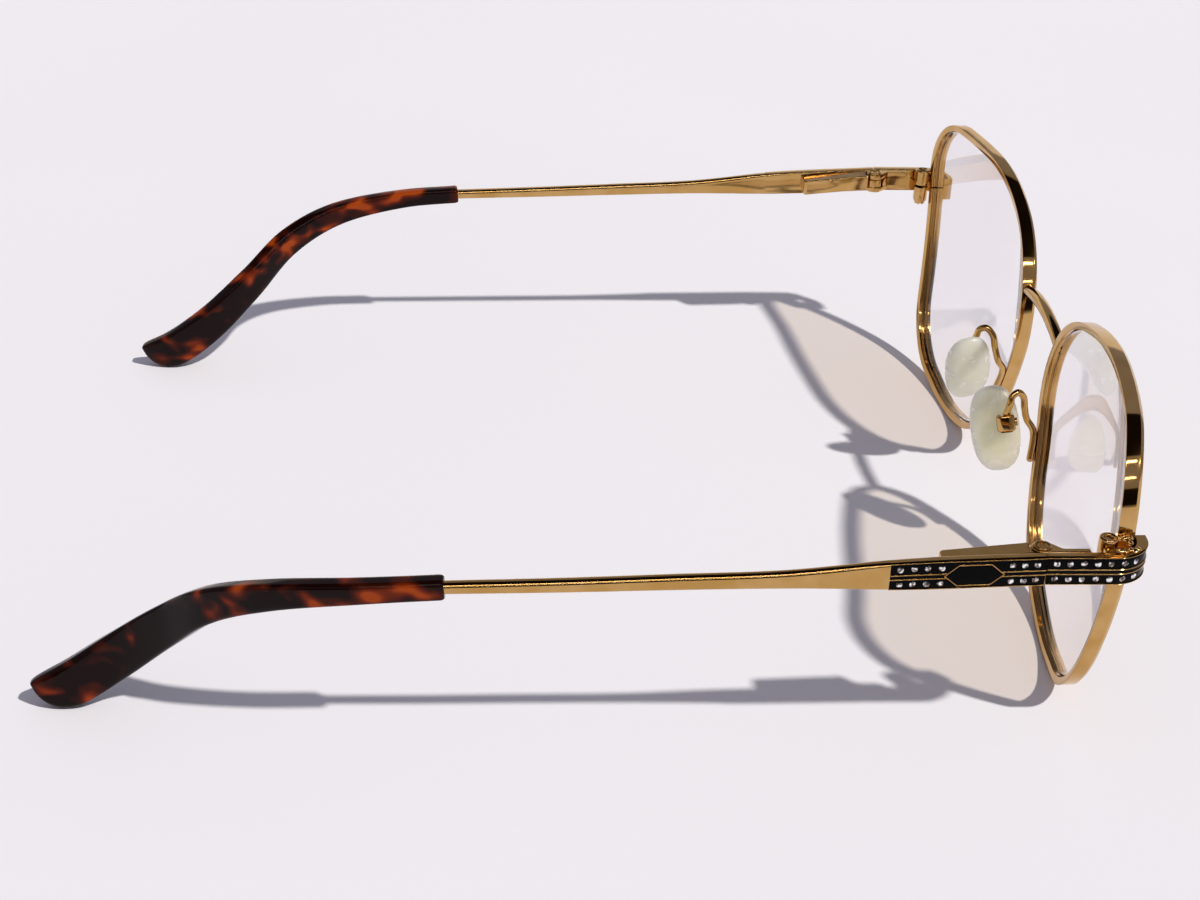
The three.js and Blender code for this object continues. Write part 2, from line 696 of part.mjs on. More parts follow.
const coreStations = [0.06, 0.2, 0.3, 0.4, 0.5, 0.6, 0.7, coreReach];
const mouthSquareness = 0.5;
const tipSquareness = 0.45;

// The bar's end at the tip and the core wire inside it; grow leaves room around them.
function coreRings(grow) {
  const mouth = tipRing(0, coreMouth.width / 2 + grow, coreMouth.height / 2 + grow, mouthSquareness);
  const halfWidth = coreThickness / 2 + grow;
  const halfHeight = coreHeight / 2 + grow;
  return [mouth, ...coreStations.map((u) => tipRing(u, halfWidth, halfHeight, tipSquareness))];
}

const barSquareness = 0.3;

function makeTempleBar() {
  const stepRings = barSteps.map(({ y, out, top, height, thickness }) => {
    const centre = new THREE.Vector3(halfFront - out - thickness / 2, y, barTop - top - height / 2);
    return ovalRing(centre, axisX, axisZ, thickness / 2, height / 2, barSquareness);
  });
  const bar = loft([...stepRings, ...coreRings(0)]);
  return cut(bar, templeInlay(0));
}

// The enamel field on the outer face, tapering with the bar.
function templeInlay(fit) {
  const border = inlayBorder + fit;
  const start = barSteps[0];
  const end = barSteps[1];
  const depth = inlayDepth - fit;
  const lift = fit > 0 ? 0 : 1;
  const ring = (step, y) => {
    const face = halfFront - THREE.MathUtils.mapLinear(y, start.y, end.y, start.out, end.out);
    const top = barTop - step.top - border;
    const bottom = barTop - step.top - step.height + border;
    const corners = [[face - depth, bottom], [face + lift, bottom], [face + lift, top], [face - depth, top]];
    return corners.map(([x, z]) => new THREE.Vector3(x, y, z));
  };
  return loft([ring(start, start.y + border), ring(end, end.y - border)]);
}

// Acetate tip: a sleeve that widens to a paddle and ends in an oblique round.
function makeTip() {
  const roundFrom = 0.88;
  const roundPower = 2.5; // 2 is an ellipse, more is a squarer end
  const mouthShare = 0.85; // the front end is chamfered
  const swellFrom = 0.3;
  const swellTo = 0.87;
  const body = [0.01, 0.12, 0.22, 0.32, 0.4, 0.48, 0.56, 0.64, 0.72, 0.8];
  const rings = [0, ...body, roundFrom, 0.93, 0.965, 0.99].map((u) => {
    const swell = THREE.MathUtils.smoothstep(u, swellFrom, swellTo);
    const half = THREE.MathUtils.lerp(tipHeightFront, tipHeightEnd, swell) / 2;
    const past = Math.max(0, (u - roundFrom) / (1 - roundFrom));
    const round = (1 - past ** roundPower) ** (1 / roundPower);
    const chamfer = u === 0 ? mouthShare : 1;
    const halfWidth = (tipThickness / 2) * chamfer * Math.sqrt(round);
    return tipRing(u, halfWidth, half * chamfer * round, tipSquareness, tipEndLift * half * (1 - round));
  });
  const room = coreRings(coreFit);
  const onward = tipPath.getTangentAt(coreReach);
  const ahead = room[0].map((point) => point.clone().sub(axisY));
  const beyond = room.at(-1).map((point) => point.clone().addScaledVector(onward, coreFit));
  return cut(loft(rings), loft([ahead, ...room, beyond]));
}

// Nose pads, in the frame of their screw: x to the front, y up the pad, z to the nose.

function padFrame() {
  const up = new THREE.Vector3(-Math.sin(radians(padFrontal)), Math.sin(radians(padLean)), 1).normalize();
  const front = new THREE.Vector3(-Math.tan(radians(padSplay)), -1, 0);
  front.addScaledVector(up, -front.dot(up)).normalize();
  const noseward = new THREE.Vector3().crossVectors(front, up);
  const place = new THREE.Vector3(rimGap / 2 + padScrewAside, padScrewBehind, rimHeight - padScrewDrop);
  return new THREE.Matrix4().makeBasis(front, up, noseward).setPosition(place);
}

function alongPadScrew(x) {
  return new THREE.Vector3(x, 0, 0);
}

const padBore = padScrewRadius + screwFit;
const padBoxFront = padBoxSize.z - padTabReach - padBoxFloor - padTabFit;

function makePadBox() {
  const half = padBoxSize.clone().multiplyScalar(0.5);
  const low = new THREE.Vector3(-half.x, -half.y, padBoxFront - padBoxSize.z);
  const block = box(low, new THREE.Vector3(half.x, half.y, padBoxFront));
  const slotLow = new THREE.Vector3(-padBoxSlot / 2, -through, low.z + padBoxFloor);
  const slot = box(slotLow, new THREE.Vector3(padBoxSlot / 2, through, through));
  return cut(block, slot, roundBar(padBore, alongPadScrew(-through), alongPadScrew(through)));
}

function makePadScrew() {
  const half = padBoxSize.x / 2 + seatFit;
  const headEnd = half + padScrewHead.height;
  const shank = roundBar(padScrewRadius, alongPadScrew(-half), alongPadScrew(half + seatFit), smallSides);
  const head = roundBar(padScrewHead.radius, alongPadScrew(half), alongPadScrew(headEnd), smallSides);
  return join(head, shank);
}

function makePadInsert() {
  const low = new THREE.Vector3(-padTab.x / 2, -padTab.y / 2, -padTabReach);
  const discBack = new THREE.Vector3(0, 0, padTab.z - padTabReach);
  const high = new THREE.Vector3(padTab.x / 2, padTab.y / 2, discBack.z + seatFit);
  const discFront = discBack.clone().setZ(discBack.z + padDisc.height);
  const disc = roundBar(padDisc.radius, discBack, discFront);
  const bore = roundBar(padBore, alongPadScrew(-through), alongPadScrew(through));
  return cut(join(box(low, high), disc), bore);
}

// A domed oval, flat behind, with a pocket for the insert's disc.
function makeNosePad() {
  const padSides = 24;
  const back = [[0.8, 0], [0.93, 0.1]]; // shares of the half width and of the thickness
  const front = [[1, 0.36], [0.95, 0.62], [0.78, 0.85], [0.45, 0.97], [0.15, 1]];
  const dome = loft([...back, ...front].map(([share, height]) => {
    const centre = new THREE.Vector3(padShift.x, padShift.y, padBack + height * padDome);
    const halfWidth = (share * padWidth) / 2;
    const halfLength = (share * padLength) / 2;
    return ovalRing(centre, axisX, axisY, halfWidth, halfLength, padSquareness, padSides);
  }));
  const pocketTop = padTab.z - padTabReach + padDisc.height + seatFit;
  const pocket = roundBar(padDisc.radius + seatFit, new THREE.Vector3(), new THREE.Vector3(0, 0, pocketTop));
  return cut(dome, pocket);
}

// A wire from the back of the rim, over a hump, down to the top of the pad box.
function makePadArm() {
  const offRim = padArmRadius + solderGap;
  const leaves = rimHeight - padArmDrop;
  const foot = [leaves - padArmFoot, leaves].map((height) => {
    const point = rimPoint(outlineAt(height, false), rimWall / 2, 0);
    return point.add(new THREE.Vector3(0, offRim, height - point.z));
  });
  const humpX = rimGap / 2 + padArmHumpAside;
  const hump = new THREE.Vector3(humpX, padArmHumpBehind, rimHeight - padArmHumpDrop);
  const rise = new THREE.Vector3().lerpVectors(foot[1], hump, padArmRise);
  rise.y -= padArmSag;
  const overBox = (height) => {
    const top = padBoxSize.y / 2 + height;
    return new THREE.Vector3(0, top, -padArmBehind).applyMatrix4(padFrame());
  };
  const path = new THREE.CatmullRomCurve3([...foot, rise, hump, overBox(padArmUpright), overBox(seatFit)]);
  const wire = new THREE.Shape().absarc(0, 0, padArmRadius, 0, 2 * Math.PI);
  const options = { steps: 24, curveSegments: 4, bevelEnabled: false, extrudePath: path };
  return new THREE.ExtrudeGeometry(wire, options);
}

// Assembly: each piece is drawn for the wearer's left and mirrored for the right.

const glasses = new THREE.Group();

function addPiece(parent, name, geometry, finish) {
  const mesh = new THREE.Mesh(geometry, new THREE.MeshStandardMaterial(finish));
  mesh.name = name;
  parent.add(mesh);
}

function addPair(name, geometry, finish) {
  addPiece(glasses, `left_${name}`, geometry, finish);
  addPiece(glasses, `right_${name}`, mirrored(geometry), finish);
}

addPair('rim', makeRim(), goldFinish);
addPair('lens', makeLens(), lensFinish);
addPiece(glasses, 'bridge', makeBridge(), goldFinish);
addPair('endpiece', makeEndpiece(), goldFinish);
addPair('endpiece_inlay', makeEndpieceInlay(), enamelFinish);
addPair('rim_lock_upper', makeLockBlock(splitHeight + rimSplit / 2, lockTop, true), goldFinish);
addPair('rim_lock_lower', makeLockBlock(lockBottom, splitHeight - rimSplit / 2, false), goldFinish);
addPair('rim_lock_screw', makeLockScrew(), goldFinish);
addPair('hinge_leaf', makeHingeLeaf(), goldFinish);
addPair('hinge_screw', makeHingeScrew(), goldFinish);
addPair('hinge_carrier', makeCarrier(), steelFinish);
addPair('hinge_bush', makeBush(), steelFinish);
addPair('hinge_spring', makeSpring(), steelFinish);
addPair('hinge_rod_nut', makeRodNut(), steelFinish);
addPair('spring_box', makeSpringBox(), goldFinish);
addPair('temple', makeTempleBar(), goldFinish);
addPair('temple_inlay', templeInlay(inlayFit), enamelFinish);
addPair('temple_tip', makeTip(), acetateFinish);
addPair('pad_arm', makePadArm(), goldFinish);

const toPadPlace = padFrame();
addPair('pad_box', makePadBox().applyMatrix4(toPadPlace), goldFinish);
addPair('pad_screw', makePadScrew().applyMatrix4(toPadPlace), goldFinish);
addPair('pad_insert', makePadInsert().applyMatrix4(toPadPlace), steelFinish);
addPair('nose_pad', makeNosePad().applyMatrix4(toPadPlace), padFinish);

// The origin is on the ground, under the middle of the whole.
const extent = new THREE.Box3().setFromObject(glasses, true);
glasses.position.y = -(extent.min.y + extent.max.y) / 2;

export default glasses;
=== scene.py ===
import json
import math

import bpy
import numpy as np
from mathutils import Matrix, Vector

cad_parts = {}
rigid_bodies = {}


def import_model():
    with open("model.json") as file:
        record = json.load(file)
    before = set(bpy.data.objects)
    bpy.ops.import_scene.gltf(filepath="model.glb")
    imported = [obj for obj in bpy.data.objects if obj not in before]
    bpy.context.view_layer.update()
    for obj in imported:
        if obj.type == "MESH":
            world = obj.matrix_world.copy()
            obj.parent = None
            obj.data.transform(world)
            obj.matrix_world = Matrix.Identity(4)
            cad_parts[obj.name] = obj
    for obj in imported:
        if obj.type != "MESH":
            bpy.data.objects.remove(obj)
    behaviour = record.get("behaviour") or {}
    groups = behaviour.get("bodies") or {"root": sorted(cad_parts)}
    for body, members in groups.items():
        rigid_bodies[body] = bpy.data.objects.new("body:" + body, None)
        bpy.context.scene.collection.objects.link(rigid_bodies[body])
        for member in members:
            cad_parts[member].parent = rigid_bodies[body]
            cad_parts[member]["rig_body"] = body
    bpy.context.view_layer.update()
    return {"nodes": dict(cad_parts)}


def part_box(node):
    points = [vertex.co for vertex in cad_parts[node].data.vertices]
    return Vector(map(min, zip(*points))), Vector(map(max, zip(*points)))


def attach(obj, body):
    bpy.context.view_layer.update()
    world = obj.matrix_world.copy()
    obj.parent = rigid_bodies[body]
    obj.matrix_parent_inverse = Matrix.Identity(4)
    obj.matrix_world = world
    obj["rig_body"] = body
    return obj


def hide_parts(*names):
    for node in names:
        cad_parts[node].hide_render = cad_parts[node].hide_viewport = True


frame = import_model()
mm = 0.001  # shapes are worked out in mm and stored in metres
sides = (("left", 1), ("right", -1))
bodyOf = {name: node["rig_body"] for name, node in frame["nodes"].items()}
print("frame:", len(bodyOf), "nodes")


# Shapes: rows of points, as whole arrays

# Rows divided by their own lengths.
def unit(rows):
    rows = np.asarray(rows, float)
    return rows / np.linalg.norm(rows, axis=-1, keepdims=True)


# How far along a line each of its points lies: the sum of the steps up to it.
def lengthAlong(line):
    return np.append(0, np.cumsum(np.linalg.norm(np.diff(line, axis=0), axis=1)))


# A cubic on each span between knots; the slope at a knot comes from its two neighbours.
def cubicThrough(at, knots, values):
    knots = np.asarray(knots, float)
    values = np.asarray(values, float).reshape(len(knots), -1)
    slopes = np.gradient(values, knots, axis=0)
    i = np.clip(np.searchsorted(knots, at, side="right") - 1, 0, len(knots) - 2)
    span = (knots[i + 1] - knots[i])[:, None]
    t = (at - knots[i])[:, None] / span
    ends = (2 * t**3 - 3 * t**2 + 1) * values[i] + (3 * t**2 - 2 * t**3) * values[i + 1]
    return ends + (t**3 - 2 * t**2 + t) * span * slopes[i] + (t**3 - t**2) * span * slopes[i + 1]


# The same line walked to the given lengths, or in equal steps.
def walk(line, at):
    done = lengthAlong(line)
    return np.stack([np.interp(at, done, column) for column in line.T], axis=1)


def evenSteps(line, count):
    return walk(line, np.linspace(0, lengthAlong(line)[-1], count))


# A smooth line through a few points, with the root of each span's length as its share of the way.
def smoothLine(points, count):
    points = np.asarray(points, float)
    knots = np.append(0, np.cumsum(np.linalg.norm(np.diff(points, axis=0), axis=1) ** 0.5))
    return evenSteps(cubicThrough(np.linspace(0, knots[-1], 100 * len(points)), knots, points), count)


# A polygon with round corners: each corner becomes an arc that touches both its sides, smaller where
# two arcs would meet.
def rounded(corners, radius, steps=4):
    corners = np.asarray(corners, float)
    radius = np.broadcast_to(np.asarray(radius, float), len(corners))
    back = unit(np.roll(corners, 1, axis=0) - corners)
    ahead = unit(np.roll(corners, -1, axis=0) - corners)
    half = np.arccos(np.clip((back * ahead).sum(axis=1), -1, 1)) / 2
    reach = radius / np.tan(half)
    side = np.linalg.norm(np.roll(corners, -1, axis=0) - corners, axis=1)
    share = np.minimum(1, side / (reach + np.roll(reach, -1)))
    limit = np.minimum(share, np.roll(share, 1))
    centre = corners + unit(back + ahead) * (limit * radius / np.sin(half))[:, None]
    start = corners + back * (limit * reach)[:, None] - centre
    way = np.sign(back[:, 1] * ahead[:, 0] - back[:, 0] * ahead[:, 1])
    turn = (way * (np.pi - 2 * half))[:, None] * np.linspace(0, 1, steps + 1)
    x = centre[:, :1] + np.cos(turn) * start[:, :1] - np.sin(turn) * start[:, 1:]
    y = centre[:, 1:] + np.sin(turn) * start[:, :1] + np.cos(turn) * start[:, 1:]
    return np.stack([x, y], axis=-1).reshape(-1, 2)


# An oval: cosine and sine, raised to a power below 1 to square it off.
def oval(count, power=1.0):
    turn = 2 * np.pi * (np.arange(count) + 0.5) / count
    wave = np.stack([np.cos(turn), np.sin(turn)], axis=-1)
    return np.sign(wave) * np.abs(wave) ** power


# Outward normals of a closed outline that runs counter-clockwise.
def outlineNormals(loop):
    along = np.roll(loop, -1, axis=0) - np.roll(loop, 1, axis=0)
    return unit(np.stack([along[:, 1], -along[:, 0]], axis=-1))


# Directions square to a path: one square to a reference direction too, and one square to both.
def squareTo(path, reference):
    along = unit(np.gradient(path, axis=0))
    across = unit(np.cross(along, reference))
    return across, np.cross(across, along)


# A section carried along a path: path + first * across + second * upward.
def sweep(path, across, upward, section):
    section = np.broadcast_to(section, (len(path),) + section.shape[-2:])
    return path[:, None] + section[..., :1] * across[:, None] + section[..., 1:] * upward[:, None]


# A plate drawn in plan, its edges rounded: a level moves the outline in by edge * (1 - cosine). One more
# ring close inside keeps the shading of the flat faces flat.
def roundedPlate(outline, bottom, top, edge, steps=4, ring=0.03):
    turn = np.linspace(0, np.pi / 2, steps + 1)
    inset = np.append(edge * (1 - np.cos(turn)), edge + ring)
    rise = np.append(edge * (1 - np.sin(turn)), 0)
    inset = np.append(inset[::-1], inset)
    levels = np.append(bottom + rise[::-1], top - rise)
    flat = outline - inset[:, None, None] * outlineNormals(outline)
    return np.concatenate([flat, np.broadcast_to(levels[:, None, None], flat.shape[:2] + (1,))], axis=-1)


hub = 0.02  # radius at which a turned shape is closed about its axis


# A turned shape: a profile of (radius, height) carried round the third axis.
def turned(profile, count=40):
    profile = np.asarray(profile, float)
    turn = 2 * np.pi * np.arange(count) / count
    flat = profile[:, None, :1] * np.stack([np.cos(turn), np.sin(turn)], axis=-1)
    return np.concatenate([flat, np.broadcast_to(profile[:, None, 1:], flat.shape[:2] + (1,))], axis=-1)


# A plain round pin between two heights.
def roundPin(radius, low, high, count=40):
    return turned([(hub, low), (radius, low), (radius, high), (hub, high)], count)


# A round wire along a path; near its ends the radius falls like a half ball's.
def wire(path, radius, reference, count=20):
    done = lengthAlong(path)
    left = np.clip(np.minimum(done, done[-1] - done) / np.mean(radius), 0, 1)
    size = radius * np.sqrt(np.maximum(1 - (1 - left) ** 2, 0.01))
    return sweep(path, *squareTo(path, reference), oval(count) * size[:, None, None])


# Local points set down with their three axes along the given directions.
def placed(grid, origin, axes):
    return np.asarray(origin, float) + grid @ np.asarray(axes, float)


# A closed skin over a grid: columns go round, and rows follow on and are closed by end faces, or
# meet again in a ring. The sign of its volume tells which way the faces point. The faces come in
# blocks, each with one number of corners.
def shell(grid, ring=False):
    rows, columns = grid.shape[:2]
    points = grid.reshape(-1, 3)
    number = np.arange(rows * columns).reshape(rows, columns)
    here = number if ring else number[:-1]
    after = np.roll(number, -1, axis=0) if ring else number[1:]
    corners = [here, np.roll(here, -1, axis=1), np.roll(after, -1, axis=1), after]
    quads = np.stack(corners, axis=-1).reshape(-1, 4)
    a, b, c, d = (points[quads[:, k]] - points.mean(axis=0) for k in range(4))
    volume = (a * np.cross(b, c)).sum() + (a * np.cross(c, d)).sum()
    way = -1 if volume < 0 else 1
    ends = [] if ring else [number[:1, ::-1], number[-1:]]
    return points, [block[:, ::way] for block in [quads] + ends]


# One object from closed skins, riding on the body of its node; where it stands for the node, the
# node is hidden. Edges turned by more than sharp, in degrees, stay crisp.
def addPiece(name, shells, finish, node, stands=True, sharp=38):
    material, slot = finish
    points = np.concatenate([points for points, _ in shells])
    faces = []
    start = 0
    for own, blocks in shells:
        for block in blocks:
            faces += (block + start).tolist()
        start += len(own)
    mesh = bpy.data.meshes.new(name)
    mesh.from_pydata((points * mm).tolist(), [], faces)
    mesh.polygons.foreach_set("use_smooth", np.ones(len(mesh.polygons), bool))
    mesh.set_sharp_from_angle(angle=math.radians(sharp))
    mesh.materials.append(material)
    piece = bpy.data.objects.new(name, mesh)
    bpy.context.scene.collection.objects.link(piece)
    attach(piece, bodyOf[node])
    if stands:
        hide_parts(node)


# The wearer's left piece as drawn, and the right one with x and the order of its corners turned round.
def addPair(name, shells, finish, node, stands=True, sharp=38):
    for side, sign in sides:
        skins = [(points * (sign, 1, 1), [block[:, ::sign] for block in blocks])
                 for points, blocks in shells]
        addPiece(f"{side}_{name}", skins, finish, f"{side}_{node}", stands, sharp)


# Materials

# An sRGB hex colour as linear light.
def linearColour(hexText):
    levels = np.array([int(hexText[i:i + 2], 16) for i in (1, 3, 5)]) / 255
    linear = np.where(levels <= 0.04045, levels / 12.92, ((levels + 0.055) / 1.055) ** 2.4)
    return (*linear.tolist(), 1.0)


# One shader node; settings go to its sockets or its own options, ramp lists (place, colour) stops.
def addNode(tree, kind, settings=None, links=None):
    node = tree.nodes.new("ShaderNode" + kind)
    for key, value in (settings or {}).items():
        if key == "ramp":
            stops = node.color_ramp.elements
            stops.remove(stops[0])
            for place, colour in value:
                stops.new(place).color = linearColour(colour)
            stops.remove(stops[-1])
        elif isinstance(key, int) or key in node.inputs:
            node.inputs[key].default_value = value
        else:
            setattr(node, key, value)
    for socket, source in (links or {}).items():
        tree.links.new(source, node.inputs[socket])
    return node


# A material that holds no node yet but its Object coordinates.
def startMaterial(name):
    material = bpy.data.materials.new(name)
    material.use_nodes = True
    material.node_tree.nodes.clear()
    place = addNode(material.node_tree, "TexCoord").outputs["Object"]
    return material, material.node_tree, place


# Gold plating on nickel silver, polished on a wheel: a warm mirror, a shade duller in soft patches,
# with a faint ripple left by the wheel.
def polishedGold():
    material, tree, place = startMaterial("polished_gold_plating")
    patch = addNode(tree, "TexNoise", {"Scale": 1 / (5 * mm), "Detail": 3.0}, {"Vector": place})
    tone = addNode(tree, "ValToRGB", {"ramp": [(0.35, "#BE9454"), (0.65, "#CCA469")]},
                   {"Fac": patch.outputs[0]})
    dull = addNode(tree, "MapRange", {"From Min": 0.3, "From Max": 0.7, "To Min": 0.05, "To Max": 0.11},
                   {"Value": patch.outputs[0]})
    ripple = addNode(tree, "TexNoise", {"Scale": 1 / (0.9 * mm), "Detail": 1.0}, {"Vector": place})
    bump = addNode(tree, "Bump", {"Strength": 0.12, "Distance": 0.01 * mm},
                   {"Height": ripple.outputs[0]})
    metal = addNode(tree, "BsdfPrincipled", {"Metallic": 1.0}, {
        "Base Color": tone.outputs[0], "Roughness": dull.outputs[0], "Normal": bump.outputs[0],
    })
    addNode(tree, "OutputMaterial", links={"Surface": metal.outputs[0]})
    return material


# Stainless spring steel, drawn and ground: a grey satin with a fine grain, coarser here than it is so
# that it shows.
def groundSteel():
    material, tree, place = startMaterial("ground_stainless_steel")
    grain = addNode(tree, "TexNoise", {"Scale": 1 / (0.15 * mm), "Detail": 2.0}, {"Vector": place})
    tone = addNode(tree, "ValToRGB", {"ramp": [(0.3, "#9A968E"), (0.7, "#BDB9B0")]},
                   {"Fac": grain.outputs[0]})
    rough = addNode(tree, "MapRange", {"To Min": 0.22, "To Max": 0.38}, {"Value": grain.outputs[0]})
    metal = addNode(tree, "BsdfPrincipled", {"Metallic": 1.0},
                    {"Base Color": tone.outputs[0], "Roughness": rough.outputs[0]})
    addNode(tree, "OutputMaterial", links={"Surface": metal.outputs[0]})
    return material


# Black cold enamel, poured into its field and lapped: deep black with a faint gloss, a slow swell and a
# few dull specks.
def blackEnamel():
    material, tree, place = startMaterial("black_cold_enamel")
    speck = addNode(tree, "TexNoise", {"Scale": 1 / (0.25 * mm), "Detail": 2.0}, {"Vector": place})
    tone = addNode(tree, "ValToRGB", {"ramp": [(0.55, "#030303"), (0.8, "#0E0C0D")]},
                   {"Fac": speck.outputs[0]})
    rough = addNode(tree, "MapRange", {"From Min": 0.4, "From Max": 0.8, "To Min": 0.1, "To Max": 0.3},
                    {"Value": speck.outputs[0]})
    swell = addNode(tree, "TexNoise", {"Scale": 1 / (1.5 * mm), "Detail": 0.0}, {"Vector": place})
    bump = addNode(tree, "Bump", {"Strength": 0.15, "Distance": 0.02 * mm},
                   {"Height": swell.outputs[0]})
    paint = addNode(tree, "BsdfPrincipled", {"IOR": 1.5, "Specular IOR Level": 0.05}, {
        "Base Color": tone.outputs[0], "Roughness": rough.outputs[0], "Normal": bump.outputs[0],
    })
    addNode(tree, "OutputMaterial", links={"Surface": paint.outputs[0]})
    return material


# Tortoiseshell cellulose acetate, tumbled to a gloss: brown near black at the paddle and redder towards
# the front, with clouds of red and amber drawn out along the tip. The left tip is a little redder.
def tortoiseAcetate():
    material, tree, place = startMaterial("tortoiseshell_acetate")
    drawn = addNode(tree, "Mapping", {"Scale": (1.0, 0.6, 1.0)}, {"Vector": place})
    cloud = addNode(tree, "TexNoise", {"Scale": 1 / (3.2 * mm), "Detail": 1.0, "Distortion": 0.3},
                    {"Vector": drawn.outputs[0]})
    broad = addNode(tree, "TexNoise", {"Scale": 1 / (14 * mm), "Detail": 1.0}, {"Vector": place})
    both = addNode(tree, "Math", {"operation": "MULTIPLY_ADD", 1: 0.5},
                   {0: broad.outputs[0], 2: cloud.outputs[0]})
    along = addNode(tree, "SeparateXYZ", links={0: place})
    front = addNode(tree, "MapRange", {
        "From Min": 20 * mm, "From Max": 52 * mm, "To Min": 0.15, "To Max": -0.02,
    }, {"Value": along.outputs["Y"]})
    redder = addNode(tree, "Math", {"operation": "ADD"}, {0: both.outputs[0], 1: front.outputs[0]})
    leftRedder = addNode(tree, "Math", {"operation": "MULTIPLY_ADD", 1: 0.0004 / mm},
                         {0: along.outputs["X"], 2: redder.outputs[0]})
    tone = addNode(tree, "ValToRGB", {"ramp": [
        (0.0, "#0B0403"), (0.77, "#150504"), (0.87, "#3E1206"), (0.94, "#6E2408"), (0.995, "#963C0C"),
    ]}, {"Fac": leftRedder.outputs[0]})
    wave = addNode(tree, "TexNoise", {"Scale": 1 / (3 * mm), "Detail": 0.0}, {"Vector": place})
    bump = addNode(tree, "Bump", {"Strength": 0.1, "Distance": 0.03 * mm}, {"Height": wave.outputs[0]})
    sheet = addNode(tree, "BsdfPrincipled", {"IOR": 1.5, "Specular IOR Level": 0.12, "Roughness": 0.08},
                    {"Base Color": tone.outputs[0], "Normal": bump.outputs[0]})
    addNode(tree, "OutputMaterial", links={"Surface": sheet.outputs[0]})
    return material


# Lens resin, cast and coated: clear with a trace of lilac, and a mirror at a low angle. Lamp light and
# light from the table go straight through it and come out warmer.
def coatedLens():
    material, tree, place = startMaterial("coated_resin_lens")
    film = addNode(tree, "TexNoise", {"Scale": 1 / (30 * mm), "Detail": 0.0}, {"Vector": place})
    tone = addNode(tree, "ValToRGB", {"ramp": [(0.3, "#F6F2F4"), (0.7, "#FAF8FA")]},
                   {"Fac": film.outputs[0]})
    resin = addNode(tree, "BsdfPrincipled", {"IOR": 1.5, "Roughness": 0.0, "Transmission Weight": 1.0},
                    {"Base Color": tone.outputs[0]})
    clear = addNode(tree, "BsdfTransparent", {"Color": linearColour("#F2ECE4")})
    path = addNode(tree, "LightPath")
    strayLight = addNode(tree, "MixShader", links={
        0: path.outputs["Is Diffuse Ray"], 1: resin.outputs[0], 2: clear.outputs[0],
    })
    both = addNode(tree, "MixShader", links={
        0: path.outputs["Is Shadow Ray"], 1: strayLight.outputs[0], 2: clear.outputs[0],
    })
    addNode(tree, "OutputMaterial", links={"Surface": both.outputs[0]})
    return material


# Silicone, moulded: a milky, faintly yellow green that lets light through, slightly dull and uneven.
def padSilicone():
    material, tree, place = startMaterial("moulded_silicone")
    milk = addNode(tree, "TexNoise", {"Scale": 1 / (2.5 * mm), "Detail": 2.0}, {"Vector": place})
    tone = addNode(tree, "ValToRGB", {"ramp": [(0.35, "#EAEBCC"), (0.65, "#F5F4DA")]},
                   {"Fac": milk.outputs[0]})
    rough = addNode(tree, "MapRange", {"To Min": 0.18, "To Max": 0.34}, {"Value": milk.outputs[0]})
    grain = addNode(tree, "TexNoise", {"Scale": 1 / (0.4 * mm), "Detail": 1.0}, {"Vector": place})
    bump = addNode(tree, "Bump", {"Strength": 0.12, "Distance": 0.03 * mm}, {"Height": grain.outputs[0]})
    rubber = addNode(tree, "BsdfPrincipled", {
        "IOR": 1.41, "Transmission Weight": 0.2, "Subsurface Weight": 1.0, "Subsurface Scale": 8 * mm,
        "Subsurface Radius": (1.0, 1.0, 0.85),
    }, {"Base Color": tone.outputs[0], "Roughness": rough.outputs[0], "Normal": bump.outputs[0]})
    addNode(tree, "OutputMaterial", links={"Surface": rubber.outputs[0]})
    return material


# Cut crystal backed with foil: small flat mirrors. Their dark and bright patches are painted reflections:
# a noise sets the mirror colour from dark brown to white, in place of the dark and bright surroundings
# that the facets would mirror.
def foiledCrystal():
    material, tree, place = startMaterial("foiled_cut_crystal")
    paintedReflectionPatches = addNode(tree, "TexNoise", {"Scale": 1 / (0.4 * mm), "Detail": 1.0}, {"Vector": place})
    # painted reflection and glints: the mirror colour runs from dark brown to white in small patches
    tone = addNode(tree, "ValToRGB", {
        "ramp": [(0.33, "#453B36"), (0.48, "#A8A09C"), (0.58, "#FFFFFF")],
    }, {"Fac": paintedReflectionPatches.outputs[0]})
    stone = addNode(tree, "BsdfPrincipled", {"Metallic": 1.0, "Roughness": 0.04},
                    {"Base Color": tone.outputs[0]})
    addNode(tree, "OutputMaterial", links={"Surface": stone.outputs[0]})
    return material


steel = groundSteel()
gold = (polishedGold(), "gold_metal")  # a finish: the material, and its slot in the record
enamel = (blackEnamel(), "black_enamel")
acetate = (tortoiseAcetate(), "tortoise_acetate")
lensResin = (coatedLens(), "lens_glass")
silicone = (padSilicone(), "pad_silicone")
crystal = (foiledCrystal(), "lens_glass")
print("materials made")


# Places that the pieces share, read from the frame, in mm

# The lower and the upper corner of a node.
def boxOf(node):
    return np.array(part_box(node), float) / mm


axisX, axisY, axisZ = np.eye(3)
endpieceBox = boxOf("left_endpiece")
halfFront = endpieceBox[1, 0]
stripFront, seam = endpieceBox[:, 1]
stripLow, stripHigh = endpieceBox[:, 2]
slitHeight = (stripLow + stripHigh) / 2
bridgeForward = 0.8  # from the lens centres to the bridge's line
lensPlane = boxOf("bridge").mean(axis=0)[1] + bridgeForward  # y of the lens centres
leafLow, leafHigh = boxOf("left_hinge_leaf")[:, 2]
hinge = np.append(boxOf("left_hinge_screw").mean(axis=0)[:2], (leafLow + leafHigh) / 2)
lock = boxOf("left_rim_lock_screw").mean(axis=0)


# Rims and lenses: a grooved band round the cat-eye outline, and a lens in its groove, both bent to one
# sphere

